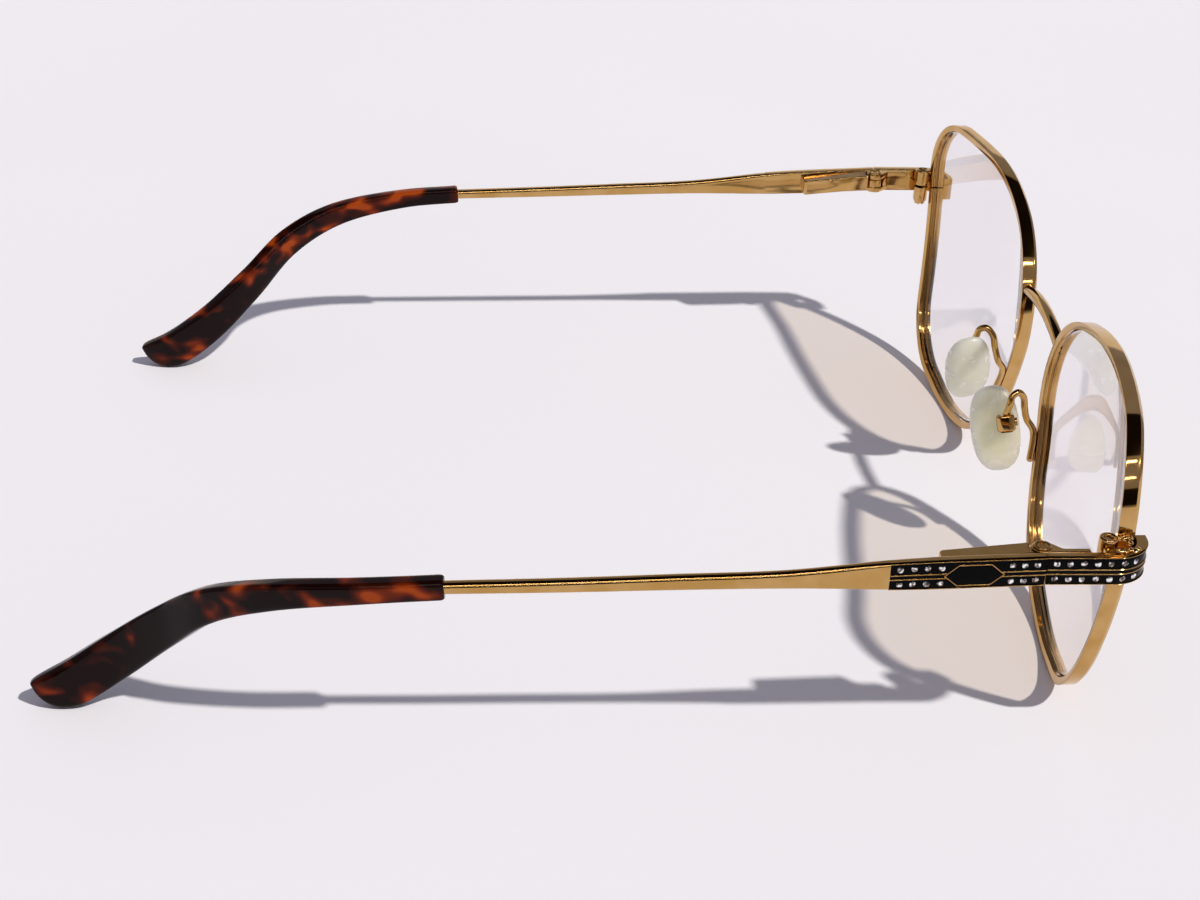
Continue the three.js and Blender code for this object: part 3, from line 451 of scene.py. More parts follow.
rim = {
    "width": 55.6, "height": 47.1, "gap": 17.2, "depth": 2.345, "wall": 1.1, "bevel": 0.4, "edge": 0.07,
    "grooveDepth": 0.45, "grooveWidth": 1.0, "slit": 0.3, "soften": 0.8,
    "hair": 0.02,  # how far it keeps inside the frame's outline
    "arcSteps": 24, "fineSteps": 600, "steps": 420,
}
lens = {
    "radius": 124, "wrap": 4.4, "tilt": 4.7, "thickness": 0.4, "fit": 0.05,
    "rings": 12, "firstRing": 0.004,
}
farOff = 100  # mm added to a miss, to rule out the other side of a rim
rimCorners = np.array([  # x from the nasal edge, z from the bottom, radius
    (rim["width"] - 1.1, rim["height"] / 2, 106),
    (rim["width"] + 0.9, rim["height"] - 0.6, 11),
    (rim["width"] / 2 - 4.3, rim["height"] + 0.3, 56),
    (11, rim["height"] - 3.1, 26),
    (-3.75, rim["height"] - 10.6, 16),
    (7.5, 4, 23),
    (rim["width"] / 2 + 0.7, -0.65, 34),
    (rim["width"] - 7.1, 3, 16),
])
lensTurn = [-math.tan(math.radians(lens["wrap"])), 1, math.tan(math.radians(lens["tilt"]))]
lensMiddle = np.array([(rim["gap"] + rim["width"]) / 2, lensPlane, rim["height"] / 2])
sphere = lensMiddle + lens["radius"] * unit(lensTurn)


# y on the sphere is its centre less the root of radius² - dx² - dz²; depth goes forward from there.
def onLensSphere(x, z, depth):
    drop = np.sqrt(lens["radius"] ** 2 - (x - sphere[0]) ** 2 - (z - sphere[2]) ** 2)
    return np.stack(np.broadcast_arrays(x, sphere[1] - drop - depth, z), axis=-1)


# Each point of a loop becomes the mean of its neighbours, weighted by a bell curve.
def softened(loop, spread):
    step = np.linalg.norm(np.diff(loop, axis=0), axis=1).mean()
    keep = np.exp(-2 * (np.pi * np.fft.fftfreq(len(loop)) * spread / step) ** 2)
    return np.fft.ifft(np.fft.fft(loop, axis=0) * keep[:, None], axis=0).real


# The outline from one lip of the slit round to the other, as rows of x, z and the outward normal.
def rimOutline():
    arcs = rounded(rimCorners[:, :2], rimCorners[:, 2], rim["arcSteps"])
    loop = softened(evenSteps(np.vstack([arcs, arcs[:1]]), rim["fineSteps"] + 1)[:-1], rim["soften"])
    loop = loop - rim["hair"] * outlineNormals(loop) + (rim["gap"] / 2, 0)
    miss = np.abs(loop[:, 1] - slitHeight) + farOff * (loop[:, 0] < lensMiddle[0])
    loop = np.roll(loop, -int(miss.argmin()), axis=0)
    both = np.hstack([loop, outlineNormals(loop)])
    closed = np.vstack([both, both[:1]])
    done = lengthAlong(closed[:, :2])
    at = np.linspace(rim["slit"] / 2, done[-1] - rim["slit"] / 2, rim["steps"])
    return np.stack([np.interp(at, done, column) for column in closed.T], axis=1)


outline = rimOutline()


# Points inside the outline by inset and ahead of the rim's back by depth: one row for each pair.
def rimPoints(inset, depth):
    inset = np.asarray(inset, float)[:, None, None]
    flat = outline[:, :2] - inset * outline[:, 2:]
    return onLensSphere(flat[..., 0], flat[..., 1], np.asarray(depth, float)[:, None])


# The outline's point at a height, on the temple's side or on the nose's.
def outlineAt(height, temporal):
    miss = np.abs(outline[:, 1] - height) + farOff * ((outline[:, 2] > 0) != temporal)
    return outline[miss.argmin()]


# A band in section, with a V groove inside and a bevel in front, carried round the outline.
def makeRim():
    middle = rim["depth"] / 2
    groove = rim["grooveWidth"] / 2
    wall, depth, bevel = rim["wall"], rim["depth"], rim["bevel"]
    profile = rounded([
        (0, 0), (wall, 0), (wall, middle - groove), (wall - rim["grooveDepth"], middle),
        (wall, middle + groove), (wall, depth), (bevel, depth), (0, depth - bevel),
    ], [2 * rim["edge"]] + 7 * [rim["edge"]], 3)
    return shell(rimPoints(profile[:, 0], profile[:, 1]).swapaxes(0, 1))


# A meniscus: on both faces rings grow from the middle to the edge, with a ring in the groove between
# them. It is drawn thin, so that its edge does not veil the groove.
def makeLens():
    middle = rim["depth"] / 2
    half = lens["thickness"] / 2
    edge = rim["wall"] + lens["fit"]
    share = np.sin(np.linspace(lens["firstRing"], np.pi / 2, lens["rings"]))[:, None, None]
    flat = lensMiddle[::2] + share * (outline[:, :2] - edge * outline[:, 2:] - lensMiddle[::2])
    back = onLensSphere(flat[..., 0], flat[..., 1], middle - half)
    front = onLensSphere(flat[::-1, :, 0], flat[::-1, :, 1], middle + half)
    return shell(np.concatenate([back, rimPoints([edge - rim["grooveDepth"]], [middle]), front]))


addPair("rim_band", [makeRim()], gold, "rim")
addPair("lens_body", [makeLens()], lensResin, "lens", sharp=30)
print("rims and lenses made")


# Bridge: a round bar, arched, that swells into the solder at the rims

bridge = {
    "radius": 0.95, "drop": 11.3, "rise": 0.8, "swell": 0.3, "spread": 0.7, "into": 0.9,
    "steps": 81, "round": 36,
    "lump": (0.8, 0.7, 0.8), "lumpAside": 10.2, "lumpForward": 1.2, "lumpHeight": 35,
}


# Its height falls with the square of x, and its radius swells towards the rims like a power of e.
def makeBridge():
    height = rim["height"] - bridge["drop"]
    end = outlineAt(height, False)[0] + bridge["into"]
    x = np.linspace(-end, end, bridge["steps"])
    z = height + bridge["rise"] * (1 - 2 * (x / end) ** 2)
    path = np.stack([x, np.full_like(x, lensPlane - bridgeForward), z], axis=-1)
    radius = bridge["radius"] + bridge["swell"] * np.exp((np.abs(x) - end) / bridge["spread"])
    return shell(wire(path, radius, axisY, bridge["round"]))


# A lump of solder: a ball drawn out to three sizes, its radius waving round and along it. The rows
# stop just short of its poles.
def solderLump(place, size, wave=0.14, rows=13, columns=20):
    lift = np.linspace(-1.5, 1.5, rows)[:, None]
    turn = 2 * np.pi * np.arange(columns) / columns
    swell = 1 + wave * np.sin(3 * turn + 4 * lift) * np.cos(lift)
    flat = np.cos(lift) * np.stack([np.cos(turn), np.sin(turn)])[:, None]
    ball = np.stack([*flat, np.broadcast_to(np.sin(lift), flat.shape[1:])], axis=-1)
    return shell(np.asarray(place, float) + np.asarray(size, float) * swell[..., None] * ball)


lumpPlace = np.array([bridge["lumpAside"], lensPlane - bridge["lumpForward"], bridge["lumpHeight"]])
bridgeSolder = [solderLump(lumpPlace * (sign, 1, 1), bridge["lump"]) for _, sign in sides]
addPiece("bridge_bar", [makeBridge()] + bridgeSolder, gold, "bridge")


# Endpieces: a strip bent round the corner, its outer face sunk for the enamel. s runs forward from the
# seam: along the side, round a quarter circle, then across the front of the rim.

strip = {
    "thickness": 1.5, "corner": 5, "lap": 0.7, "border": 0.11, "sunk": 0.3, "edge": 0.1,
    "borderEdge": 0.08, "floorEdge": 0.04, "enamelBelow": 0.13, "enamelEdge": 0.05,
    "under": 0.02, "bed": 0.05,  # how far the enamel reaches into the borders and the floor
    "sideSteps": 8, "bendSteps": 40,
}
stripTurn = np.array([halfFront - strip["corner"], stripFront + strip["corner"]])
stripSide = seam - stripTurn[1]
stripLength = stripSide + strip["corner"] * np.pi / 2 + strip["lap"]
stripHeight = stripHigh - stripLow


# A point of the strip's outer face at s and height z, set in by inset.
def onStrip(s, z, inset):
    s, z, inset = np.broadcast_arrays(np.asarray(s, float), z, inset)
    turn = np.clip((s - stripSide) / strip["corner"], 0, np.pi / 2)
    radius = strip["corner"] - inset
    x = stripTurn[0] + radius * np.cos(turn) - np.maximum(s - stripLength + strip["lap"], 0)
    y = stripTurn[1] - radius * np.sin(turn) + np.maximum(stripSide - s, 0)
    return np.stack([x, y, z], axis=-1)


# A bar's section as (inset, z): its outer face is sunk between two borders.
def sunkSection(edge):
    border, sunk, thickness = strip["border"], strip["sunk"], strip["thickness"]
    upper, lower = strip["borderEdge"], strip["floorEdge"]
    return rounded([
        (0, 0), (thickness, 0), (thickness, stripHeight), (0, stripHeight),
        (0, stripHeight - border), (sunk, stripHeight - border), (sunk, border), (0, border),
    ], 4 * [edge] + [upper, lower, lower, upper], 3)


# The enamel's section, and that of the gold wall at its end; both reach a little into the gold.
def fieldSection(below):
    low = strip["border"] - strip["under"]
    high = stripHeight - low
    bottom = strip["sunk"] + strip["bed"]
    return rounded([(below, low), (bottom, low), (bottom, high), (below, high)], strip["enamelEdge"], 3)


sideSteps = np.linspace(0, stripSide, strip["sideSteps"])
stripSteps = np.append(sideSteps, np.linspace(stripSide, stripLength, strip["bendSteps"])[1:])


# A section carried along s from start to end.
def stripSkin(section, start, end):
    s = np.unique(np.clip(stripSteps, start, end))
    return shell(onStrip(s[:, None], stripLow + section[:, 1], section[:, 0]))


border = strip["border"]
stripWall = stripSkin(fieldSection(0), stripLength - border, stripLength)
stripBody = stripSkin(sunkSection(strip["edge"]), 0, stripLength)
stripEnamel = stripSkin(fieldSection(strip["enamelBelow"]), 0, stripLength - border)
addPair("endpiece_strip", [stripBody, stripWall], gold, "endpiece")
addPair("endpiece_enamel", [stripEnamel], enamel, "endpiece_inlay")
print("bridge and endpieces made")


# Temples: the bar from the seam to the tip. s runs back from the hinge axis; how far the outer face
# lies in, the top, the height and the thickness follow smooth lines through a few places.

bar = {
    "length": 76.2, "inlay": 20, "drop": 0.05, "intoTip": 0.6,
    "hardEdge": 0.1, "softEdge": 0.55, "softFrom": 12, "softTo": 26,
    "nearSteps": 40, "farSteps": 80, "enamelSteps": 30,
    "places": [0, 20, 33.2, 47.2, 61.3, 76.2],
    "out": [0, 0.25, 0.42, 0.6, 0.75, 1.0],
    "top": [0, 1.15, 2.65, 3.4, 4.1, 4.7],
    "height": [4.05, 3.8, 2.35, 1.95, 1.7, 1.5],
    "thickness": [1.5, 1.5, 1.5, 1.6, 1.65, 1.7],
}
barTop = stripHigh - bar["drop"]
enamelEnd = bar["inlay"] - border


# One of the bar's smooth lines, at s.
def barValue(name, s):
    return cubicThrough(s.ravel(), bar["places"], bar[name])[:, 0].reshape(s.shape)


# A point of the outer face at height h over the middle line, set in by inset.
def onBar(s, h, inset):
    s, h, inset = np.broadcast_arrays(np.asarray(s, float), h, inset)
    middle = barTop - barValue("top", s) - barValue("height", s) / 2
    return np.stack([halfFront - barValue("out", s) - inset, hinge[1] + s, middle + h], axis=-1)


# A section drawn at full height; each half of it keeps to its own edge as the bar narrows.
def barSkin(section, s):
    s = s[:, None]
    inset, z = section[..., 0], section[..., 1]
    wide, tall = barValue("thickness", s), barValue("height", s)
    inset = np.where(inset > strip["thickness"] / 2, wide - strip["thickness"] + inset, inset)
    h = np.where(z > stripHeight / 2, tall / 2 - stripHeight + z, z - tall / 2)
    return shell(onBar(s, h, inset))


# A bar's section without the sunk face.
def plainSection(edge):
    thickness = strip["thickness"]
    return rounded([(0, 0), (thickness, 0), (thickness, stripHeight), (0, stripHeight)], edge, 5)


# From hard edges at the seam to soft ones behind the enamel.
def blended(section, s):
    share = np.clip((s - bar["softFrom"]) / (bar["softTo"] - bar["softFrom"]), 0, 1)[:, None, None]
    return section(bar["hardEdge"]) * (1 - share) + section(bar["softEdge"]) * share


nearSteps = np.linspace(0, enamelEnd, bar["nearSteps"])
farSteps = np.linspace(enamelEnd, bar["length"] + bar["intoTip"], bar["farSteps"])
enamelSteps = np.linspace(0, enamelEnd, bar["enamelSteps"])
barNear = barSkin(blended(sunkSection, nearSteps), nearSteps)
barFar = barSkin(blended(plainSection, farSteps), farSteps)
barEnamel = barSkin(fieldSection(strip["enamelBelow"]), enamelSteps)
addPair("temple_bar", [barNear, barFar], gold, "temple")
addPair("temple_enamel", [barEnamel], enamel, "temple_inlay")


# Ornament: fine gold lines and rows of stones, laid out in s and in shares of the half height

ornament = {
    "lines": (0.1, -0.22), "lineWidth": 0.17, "lineEdge": 0.09, "footEdge": 0.02, "start": 0.02,
    "rows": (0.53, -0.6), "stone": 0.43, "facets": 8, "lean": 0.12, "turn": 2.4,
    "bed": 0.3, "girdle": 0.11, "table": (0.25, 0.04),  # depths; the table's radius and depth
    "stripStones": 1.1 + 1.77 * np.arange(7),  # the first, the pitch and how many
    "barStones": [1.2, 2.75, 4.3, 13.35, 15.1, 16.85, 18.6],
    "panel": [(5.3, -0.06), (7.0, 0.68), (11.2, 0.68), (12.9, -0.06), (11.2, -0.78), (7.0, -0.78)],
    "panelMeets": (5.7, 12.5),
}


# A point of an enamel field, at a share of the half height over its middle line.
def stripField(s, share, inset):
    return onStrip(s, slitHeight + share * stripHeight / 2, inset)


def barField(s, share, inset):
    return onBar(s, share * barValue("height", s) / 2, inset)


# Points on a field's surface, and the way out of it there, found from points a little below.
def fieldPoints(field, s, share, below=0.2):
    top = field(s, share, 0.0)
    return top, unit(top - field(s, share, below))


# A raised line through (s, share) points of a field: a low wall with a round top.
def goldLine(field, points, closed=False, steps=30):
    points = np.asarray(points, float)
    line = np.vstack([points, points[:1]]) if closed else points
    line = evenSteps(line, steps * (len(line) - 1) + 1)
    top, outward = fieldPoints(field, line[:, 0], line[:, 1])
    across = unit(np.cross(np.gradient(top, axis=0), outward))
    half, depth = ornament["lineWidth"] / 2, strip["sunk"]
    edges = 2 * [ornament["footEdge"]] + 2 * [ornament["lineEdge"]]
    wall = rounded([(-half, -depth), (half, -depth), (half, 0), (-half, 0)], edges, 3)
    return shell(sweep(top, across, outward, wall))


# Rings of points about each stone's own axes: (radius, turn in steps, depth) for each ring.
def gemRings(rings, count, top, axes):
    turn = 2 * np.pi * (np.arange(count) + np.array([[step] for _, step, _ in rings])) / count
    radius = np.array([[size] for size, _, _ in rings])
    depth = np.broadcast_to([[-below] for _, _, below in rings], turn.shape)
    local = np.stack([radius * np.cos(turn), radius * np.sin(turn), depth], axis=-1)
    return top[:, None, None] + np.einsum("rck,nkj->nrcj", local, axes)


# Stones with flat sides and a flat table, each leaning its own way.
def gems(field, places):
    s, share = np.asarray(places, float).T
    top, outward = fieldPoints(field, s, share)
    across = unit(np.cross(axisZ, outward))
    upward = np.cross(outward, across)
    turn = ornament["turn"] * np.arange(len(s))[:, None]
    lean = unit(outward + ornament["lean"] * (np.cos(turn) * across + np.sin(turn) * upward))
    tilted = unit(across - (across * lean).sum(axis=1, keepdims=True) * lean)
    stone, (tableRadius, tableDepth) = ornament["stone"], ornament["table"]
    cut = [(stone, 0, ornament["bed"]), (stone, 0, ornament["girdle"]), (tableRadius, 0.5, tableDepth)]
    axes = np.stack([tilted, np.cross(lean, tilted), lean], axis=1)
    return [shell(grid) for grid in gemRings(cut, ornament["facets"], top, axes)]


# Gold lines along s, one for each span at each share of the half height.
def straightLines(field, spans):
    return [goldLine(field, [(start, share), (end, share)])
            for share in ornament["lines"] for start, end in spans]


stripPlaces = [(s, row) for row in ornament["rows"] for s in ornament["stripStones"]]
barPlaces = [(s, row) for row in ornament["rows"] for s in ornament["barStones"]]
lineStart, (panelStart, panelEnd) = ornament["start"], ornament["panelMeets"]
stripLines = straightLines(stripField, [(lineStart, stripLength - border)])
barLines = straightLines(barField, [(lineStart, panelStart), (panelEnd, enamelEnd)])
barLines.append(goldLine(barField, ornament["panel"], closed=True))
addPair("endpiece_stones", gems(stripField, stripPlaces), crystal, "endpiece_inlay", stands=False, sharp=5)
addPair("temple_stones", gems(barField, barPlaces), crystal, "temple_inlay", stands=False, sharp=5)
addPair("endpiece_lines", stripLines, gold, "endpiece_inlay", stands=False)
addPair("temple_lines", barLines, gold, "temple_inlay", stands=False)
print("temples and ornament made")


# Tips: a sleeve along the bend behind the ear, from a plain front end to a paddle with a slanting end

tip = {
    "length": 56.75, "inset": 1.85, "drop": 5.45, "foot": 1.12, "thickness": 2.8, "front": 2.8,
    "end": 6.55, "swell": (0.03, 0.9), "twist": 10, "twistSpan": (0.2, 0.6), "squareness": 0.45,
    "roundFrom": 0.895, "roundPower": 2.3, "endLift": 0.75, "last": 0.985, "endGap": 0.0005,
    "mouth": [(0, 0.84), (0.002, 0.93), (0.005, 0.98), (0.009, 1)],  # share of the length, of the section
    "bodyFrom": 0.015, "bodySteps": 70, "capFrom": 0.08, "capSteps": 18, "lineSteps": 600, "round": 56,
    "path": [  # share of the length, share of the drop to the ground, turned in behind the ear
        (0, 0, 0), (0.189, 0.034, 0.55), (0.397, 0.116, 3.05), (0.538, 0.256, 6.85),
        (0.654, 0.482, 11.25), (0.785, 0.732, 14.15), (0.905, 0.915, 14.45), (1, 1, 13.7),
    ],
}


# A slow start, a steady middle and a slow end between two places.
def eased(u, span):
    t = np.clip((u - span[0]) / (span[1] - span[0]), 0, 1)
    return t * t * (3 - 2 * t)


# The line that the middle of the sleeve follows, from the bar's end to the ground.
def tipLine():
    along, drop, inward = np.array(tip["path"]).T
    start = np.array([halfFront - tip["inset"], hinge[1] + bar["length"], barTop - tip["drop"]])
    fall = (tip["foot"] - start[2]) * drop
    return smoothLine(start + np.stack([-inward, along * tip["length"], fall], axis=-1), tip["lineSteps"])


# An oval section along the line, turned by the twist; the end closes like a squared ellipse and is
# lifted towards its upper edge. u is the share of the line's length.
def makeTip():
    line = tipLine()
    mouth, lip = np.array(tip["mouth"]).T
    body = np.linspace(tip["bodyFrom"], tip["roundFrom"], tip["bodySteps"])
    cap = np.sin(np.linspace(tip["capFrom"], np.pi / 2, tip["capSteps"]))
    u = np.concatenate([mouth, body, tip["roundFrom"] + (tip["last"] - tip["roundFrom"]) * cap])
    path = walk(line, u * lengthAlong(line)[-1])
    level, upright = squareTo(path, axisZ)
    turn = np.radians(tip["twist"]) * eased(u, tip["twistSpan"])[:, None]
    across = np.cos(turn) * level + np.sin(turn) * upright
    upward = np.cos(turn) * upright - np.sin(turn) * level
    height = tip["front"] + (tip["end"] - tip["front"]) * eased(u, tip["swell"])
    past = np.clip((u - tip["roundFrom"]) / (tip["last"] + tip["endGap"] - tip["roundFrom"]), 0, 1)
    ball = (1 - past ** tip["roundPower"]) ** (1 / tip["roundPower"])
    path = path + (tip["endLift"] * height / 2 * (1 - ball))[:, None] * upward
    half = np.stack([tip["thickness"] * np.sqrt(ball), height * ball], axis=-1) / 2
    half = half * np.interp(u, mouth, lip)[:, None]
    section = oval(tip["round"], tip["squareness"]) * half[:, None]
    return shell(sweep(path, across, upward, section))


addPair("tip_sleeve", [makeTip()], acetate, "temple_tip")


# Screws: a head with a slot is a low disc with two half discs on it

def slottedHead(radius, height, slot, depth, edgeShare=0.12):
    edge = edgeShare * radius
    turn = math.asin(slot / 2 / radius)
    arc = np.linspace(turn, np.pi - turn, 25)
    half = radius * np.stack([np.cos(arc), np.sin(arc)], axis=-1)
    cheeks = [roundedPlate(way * half, height - depth - edge, height, edge) for way in (1, -1)]
    return [roundPin(radius, 0, height - depth)] + cheeks


# Rim locks: two short barrels on either side of the slit, a web to the endpiece, a screw from below

lockPiece = {
    "radius": 1.25, "above": 1.0, "below": 0.9, "slitEdge": 0.1,
    "web": 1.6, "webInto": 0.1, "webDown": 0.1, "webEdge": 0.2, "webCorner": 0.1,
    "head": (0.95, 0.55), "slot": (0.3, 0.25), "headGap": 0.03,  # radius and height; width and depth
    "sunk": 0.34,  # the middle of the barrel's top
    "top": [  # in from the barrel's radius, below its top: a rounded rim
        (0, 0.3), (0.05, 0.12), (0.16, 0.02), (0.3, 0), (0.49, 0.03), (0.59, 0.12), (0.65, 0.3),
    ],
    "bottom": [(0.2, 0), (0.06, 0.06), (0, 0.2)],  # in from the barrel's radius, over its bottom
    "bead": (0.42, 0.5, 0.34), "beadVaries": 0.25,
    "beads": [  # forward of the barrel, out from it and over the strip's top
        (1.5, -0.4, 0.55), (2.2, -0.4, 0.6), (2.9, -0.4, 0.5), (2.7, 0.3, 0.2),
        (1.1, 1.9, 0), (1.8, 2.1, -0.05), (2.3, 1.9, 0.15), (2.9, 2.0, -0.05), (3.4, 1.7, 0.1),
    ],
}


# A turned barrel with a rounded rim and a sunk middle, and a rounded plate as its web.
def lockUpper():
    low, high = slitHeight + rim["slit"] / 2, stripHigh + lockPiece["above"]
    radius, edge = lockPiece["radius"], lockPiece["slitEdge"]
    top = [(radius - inward, high - below) for inward, below in lockPiece["top"]]
    top.append((hub, high - lockPiece["sunk"]))
    barrel = turned([(hub, low), (radius - edge, low), (radius, low + edge)] + top)
    reach = halfFront - strip["thickness"] + lockPiece["webInto"] - lock[0]
    half = lockPiece["web"] / 2
    plan = rounded([(0, -half), (reach, -half), (reach, half), (0, half)], lockPiece["webCorner"])
    web = roundedPlate(plan, low, stripHigh - lockPiece["webDown"], lockPiece["webEdge"])
    return [shell(grid + (lock[0], lock[1], 0)) for grid in (barrel, web)]


# A turned barrel with a rounded bottom.
def lockLower():
    low, high = stripLow - lockPiece["below"], slitHeight - rim["slit"] / 2
    radius, edge = lockPiece["radius"], lockPiece["slitEdge"]
    bottom = [(radius - inward, low + over) for inward, over in lockPiece["bottom"]]
    barrel = turned([(hub, low)] + bottom + [(radius, high - edge), (radius - edge, high), (hub, high)])
    return [shell(barrel + (lock[0], lock[1], 0))]


# A slotted head that points down.
def lockScrew():
    grids = slottedHead(*lockPiece["head"], *lockPiece["slot"])
    origin = (lock[0], lock[1], stripLow - lockPiece["below"] - lockPiece["headGap"])
    return [shell(placed(grid, origin, (axisX, -axisY, -axisZ))) for grid in grids]


# Beads of solder; the size of each varies with the sine of twice its number.
def lockSolder():
    forward, out, over = np.array(lockPiece["beads"]).T
    places = np.stack([lock[0] + out, lock[1] - forward, stripHigh + over], axis=-1)
    vary = 1 + lockPiece["beadVaries"] * np.sin(2 * np.arange(len(places)))
    sizes = np.array(lockPiece["bead"]) * vary[:, None]
    return [solderLump(place, size) for place, size in zip(places, sizes)]


addPair("lock_upper", lockUpper() + lockSolder(), gold, "rim_lock_upper")
addPair("lock_lower", lockLower(), gold, "rim_lock_lower")
addPair("lock_screw", lockScrew(), gold, "rim_lock_screw")


# Hinges: a leaf with two knuckles on the endpiece, the carrier's eye between them, and the spring box
# that falls away behind with the temple

hingePiece = {
    "knuckle": 1.4, "sweep": 0.25, "pitch": 6, "seat": 0.05, "edge": 0.16,
    "leaf": 5.9, "leafThick": 1.0, "shoulder": (0.7, 2.55), "seamGap": 0.15, "hollow": (-30, -105),
    "leafEdges": [0.2, 0.3], "neckEdges": [0.4, 0.6, 0.2], "webOverlap": 0.2, "webEdge": 0.02,
    "head": (1.15, 0.24), "headWall": 0.26, "ringEdge": 0.12, "ringDown": 0.1, "footEdge": 0.02,
    "middleGap": 0.06, "middleTall": 0.13, "middleDown": 0.25, "slot": (0.3, 0.2), "pin": 0.6,
    "eye": 1.3, "eyeFit": 0.06, "eyeEdge": 0.1, "eyeRear": 0.9, "neck": 1.2, "neckFrom": 1.25,
    "neckGap": 0.05, "eyeEdges": [0.8, 0.3, 0.1], "shank": (0.58, 1.8), "rod": (0.4, 7.5), "into": 0.1,
    "boxInside": 1.35, "boxUp": 1.65, "boxDown": 0.97, "boxLength": 11.4, "boxForward": 0.65,
    "boxTaper": 0.18, "boxHollow": (115, 65), "boxEdge": 0.2,
    "boxEdges": [0.05, 0.3, 0.15, 0.6, 0.3, 0.05],
}
knuckle = hingePiece["knuckle"]
boxMouth = knuckle + hingePiece["sweep"]  # behind the hinge axis


# Points of a circle about the hinge axis, in plan.
def aboutHinge(radius, start, end, count=16):
    turn = np.radians(np.linspace(start, end, count))
    return radius * np.stack([np.cos(turn), np.sin(turn)], axis=-1)


# Two plates that end in knuckles, and between them a web whose hollow rear clears the eye.
def hingeLeaf():
    seat = halfFront - strip["thickness"] - hingePiece["seat"]
    inside = seat - hingePiece["leafThick"]
    front = seam - hingePiece["leaf"]
    rear = hinge[1] + knuckle
    shoulder, neck = hinge[1] - np.array(hingePiece["shoulder"])
    plan = rounded([
        (seat, front), (seat, seam - hingePiece["seamGap"]),
        (hinge[0] + knuckle, rear), (hinge[0] - knuckle, rear),
        (hinge[0] - knuckle, shoulder), (inside, neck), (inside, front),
    ], hingePiece["leafEdges"] + [knuckle, knuckle] + hingePiece["neckEdges"], 8)
    arc = hinge[:2] + aboutHinge(boxMouth, *hingePiece["hollow"])
    web = np.vstack([[(seat, front), (seat, arc[0, 1])], arc, [(inside, neck), (inside, front)]])
    slot = hingePiece["eye"] / 2 + hingePiece["eyeFit"]
    reach = slot + hingePiece["webOverlap"]
    return [
        shell(roundedPlate(plan, hinge[2] + slot, leafHigh, hingePiece["edge"])),
        shell(roundedPlate(plan, leafLow, hinge[2] - slot, hingePiece["edge"])),
        shell(roundedPlate(web, hinge[2] - reach, hinge[2] + reach, hingePiece["webEdge"])),
    ]


# A slotted middle inside a raised ring, on a pin through the knuckles.
def hingeScrew():
    radius, over = hingePiece["head"]
    inner, down = radius - hingePiece["headWall"], -hingePiece["ringDown"]
    edges = 2 * [hingePiece["footEdge"]] + 2 * [hingePiece["ringEdge"]]
    ring = turned(rounded([(inner, down), (radius, down), (radius, over), (inner, over)], edges))
    small, tall = inner - hingePiece["middleGap"], over + hingePiece["middleTall"]
    middle = slottedHead(small, tall, *hingePiece["slot"])
    grids = [grid - (0, 0, hingePiece["middleDown"]) for grid in middle]
    grids.append(roundPin(hingePiece["pin"], leafLow - leafHigh, down, 24))
    origin = (hinge[0], hinge[1], leafHigh)
    return [shell(ring.swapaxes(0, 1) + origin, ring=True)] + [shell(grid + origin) for grid in grids]


pitch = math.radians(hingePiece["pitch"])
slideBack = np.array([0, math.cos(pitch), -math.sin(pitch)])
slideUp = np.array([0, math.sin(pitch), math.cos(pitch)])


# The eye with a neck behind it, in plan; then the shank and the rod, turned about the line of the
# slide, where the profile's height runs back from the hinge axis.
def hingeCarrier():
    neck, neckEnd = hingePiece["neck"] / 2, boxMouth - hingePiece["neckGap"]
    half = np.array([
        (knuckle, -knuckle), (knuckle, hingePiece["eyeRear"]),
        (neck, hingePiece["neckFrom"]), (neck, neckEnd),
    ])
    edges = [knuckle] + hingePiece["eyeEdges"]
    eye = rounded(np.vstack([half, half[::-1] * (-1, 1)]), edges + edges[::-1], 8)
    rise = hingePiece["eye"] / 2
    plate = roundedPlate(eye, -rise, rise, hingePiece["eyeEdge"]) + hinge
    (shankRadius, shankLength), (rodRadius, rodLength) = hingePiece["shank"], hingePiece["rod"]
    shankStart, shankEnd = boxMouth - hingePiece["into"], boxMouth + shankLength
    rodEnd = shankEnd + rodLength
    rod = turned([
        (hub, shankStart), (shankRadius, shankStart), (shankRadius, shankEnd), (rodRadius, shankEnd),
        (rodRadius, rodEnd), (hub, rodEnd),
    ], 24)
    return [shell(plate), shell(placed(rod, hinge, (axisX, -slideUp, slideBack)))]


# A plate in plan whose hollow front follows the knuckles, with each point let down by y times the slope.
def springBox():
    seat = halfFront - strip["thickness"] - hingePiece["seat"] - hinge[0]
    inside, low, high = -hingePiece["boxInside"], -hingePiece["boxDown"], hingePiece["boxUp"]
    front, rear = boxMouth - hingePiece["boxForward"], boxMouth + hingePiece["boxLength"]
    hollow = aboutHinge(boxMouth, *hingePiece["boxHollow"])
    corners = [
        hollow[-1], (seat, front), (seat - hingePiece["boxTaper"], rear),
        (inside, rear), (inside, front), hollow[0],
    ]
    plan = np.vstack([rounded(corners, hingePiece["boxEdges"], 6), hollow[1:-1]])
    plate = roundedPlate(plan, low, high, hingePiece["boxEdge"])
    return [shell(placed(plate, hinge, (axisX, (0, 1, -math.tan(pitch)), axisZ)))]


addPair("leaf", hingeLeaf(), gold, "hinge_leaf")
addPair("screw", hingeScrew(), gold, "hinge_screw")
addPair("carrier", hingeCarrier(), gold, "hinge_carrier")
addPair("spring_housing", springBox(), gold, "spring_box")
print("tips, locks and hinges made")


# Nose pads, in the frame of their screw: to the front, up the pad, to the nose

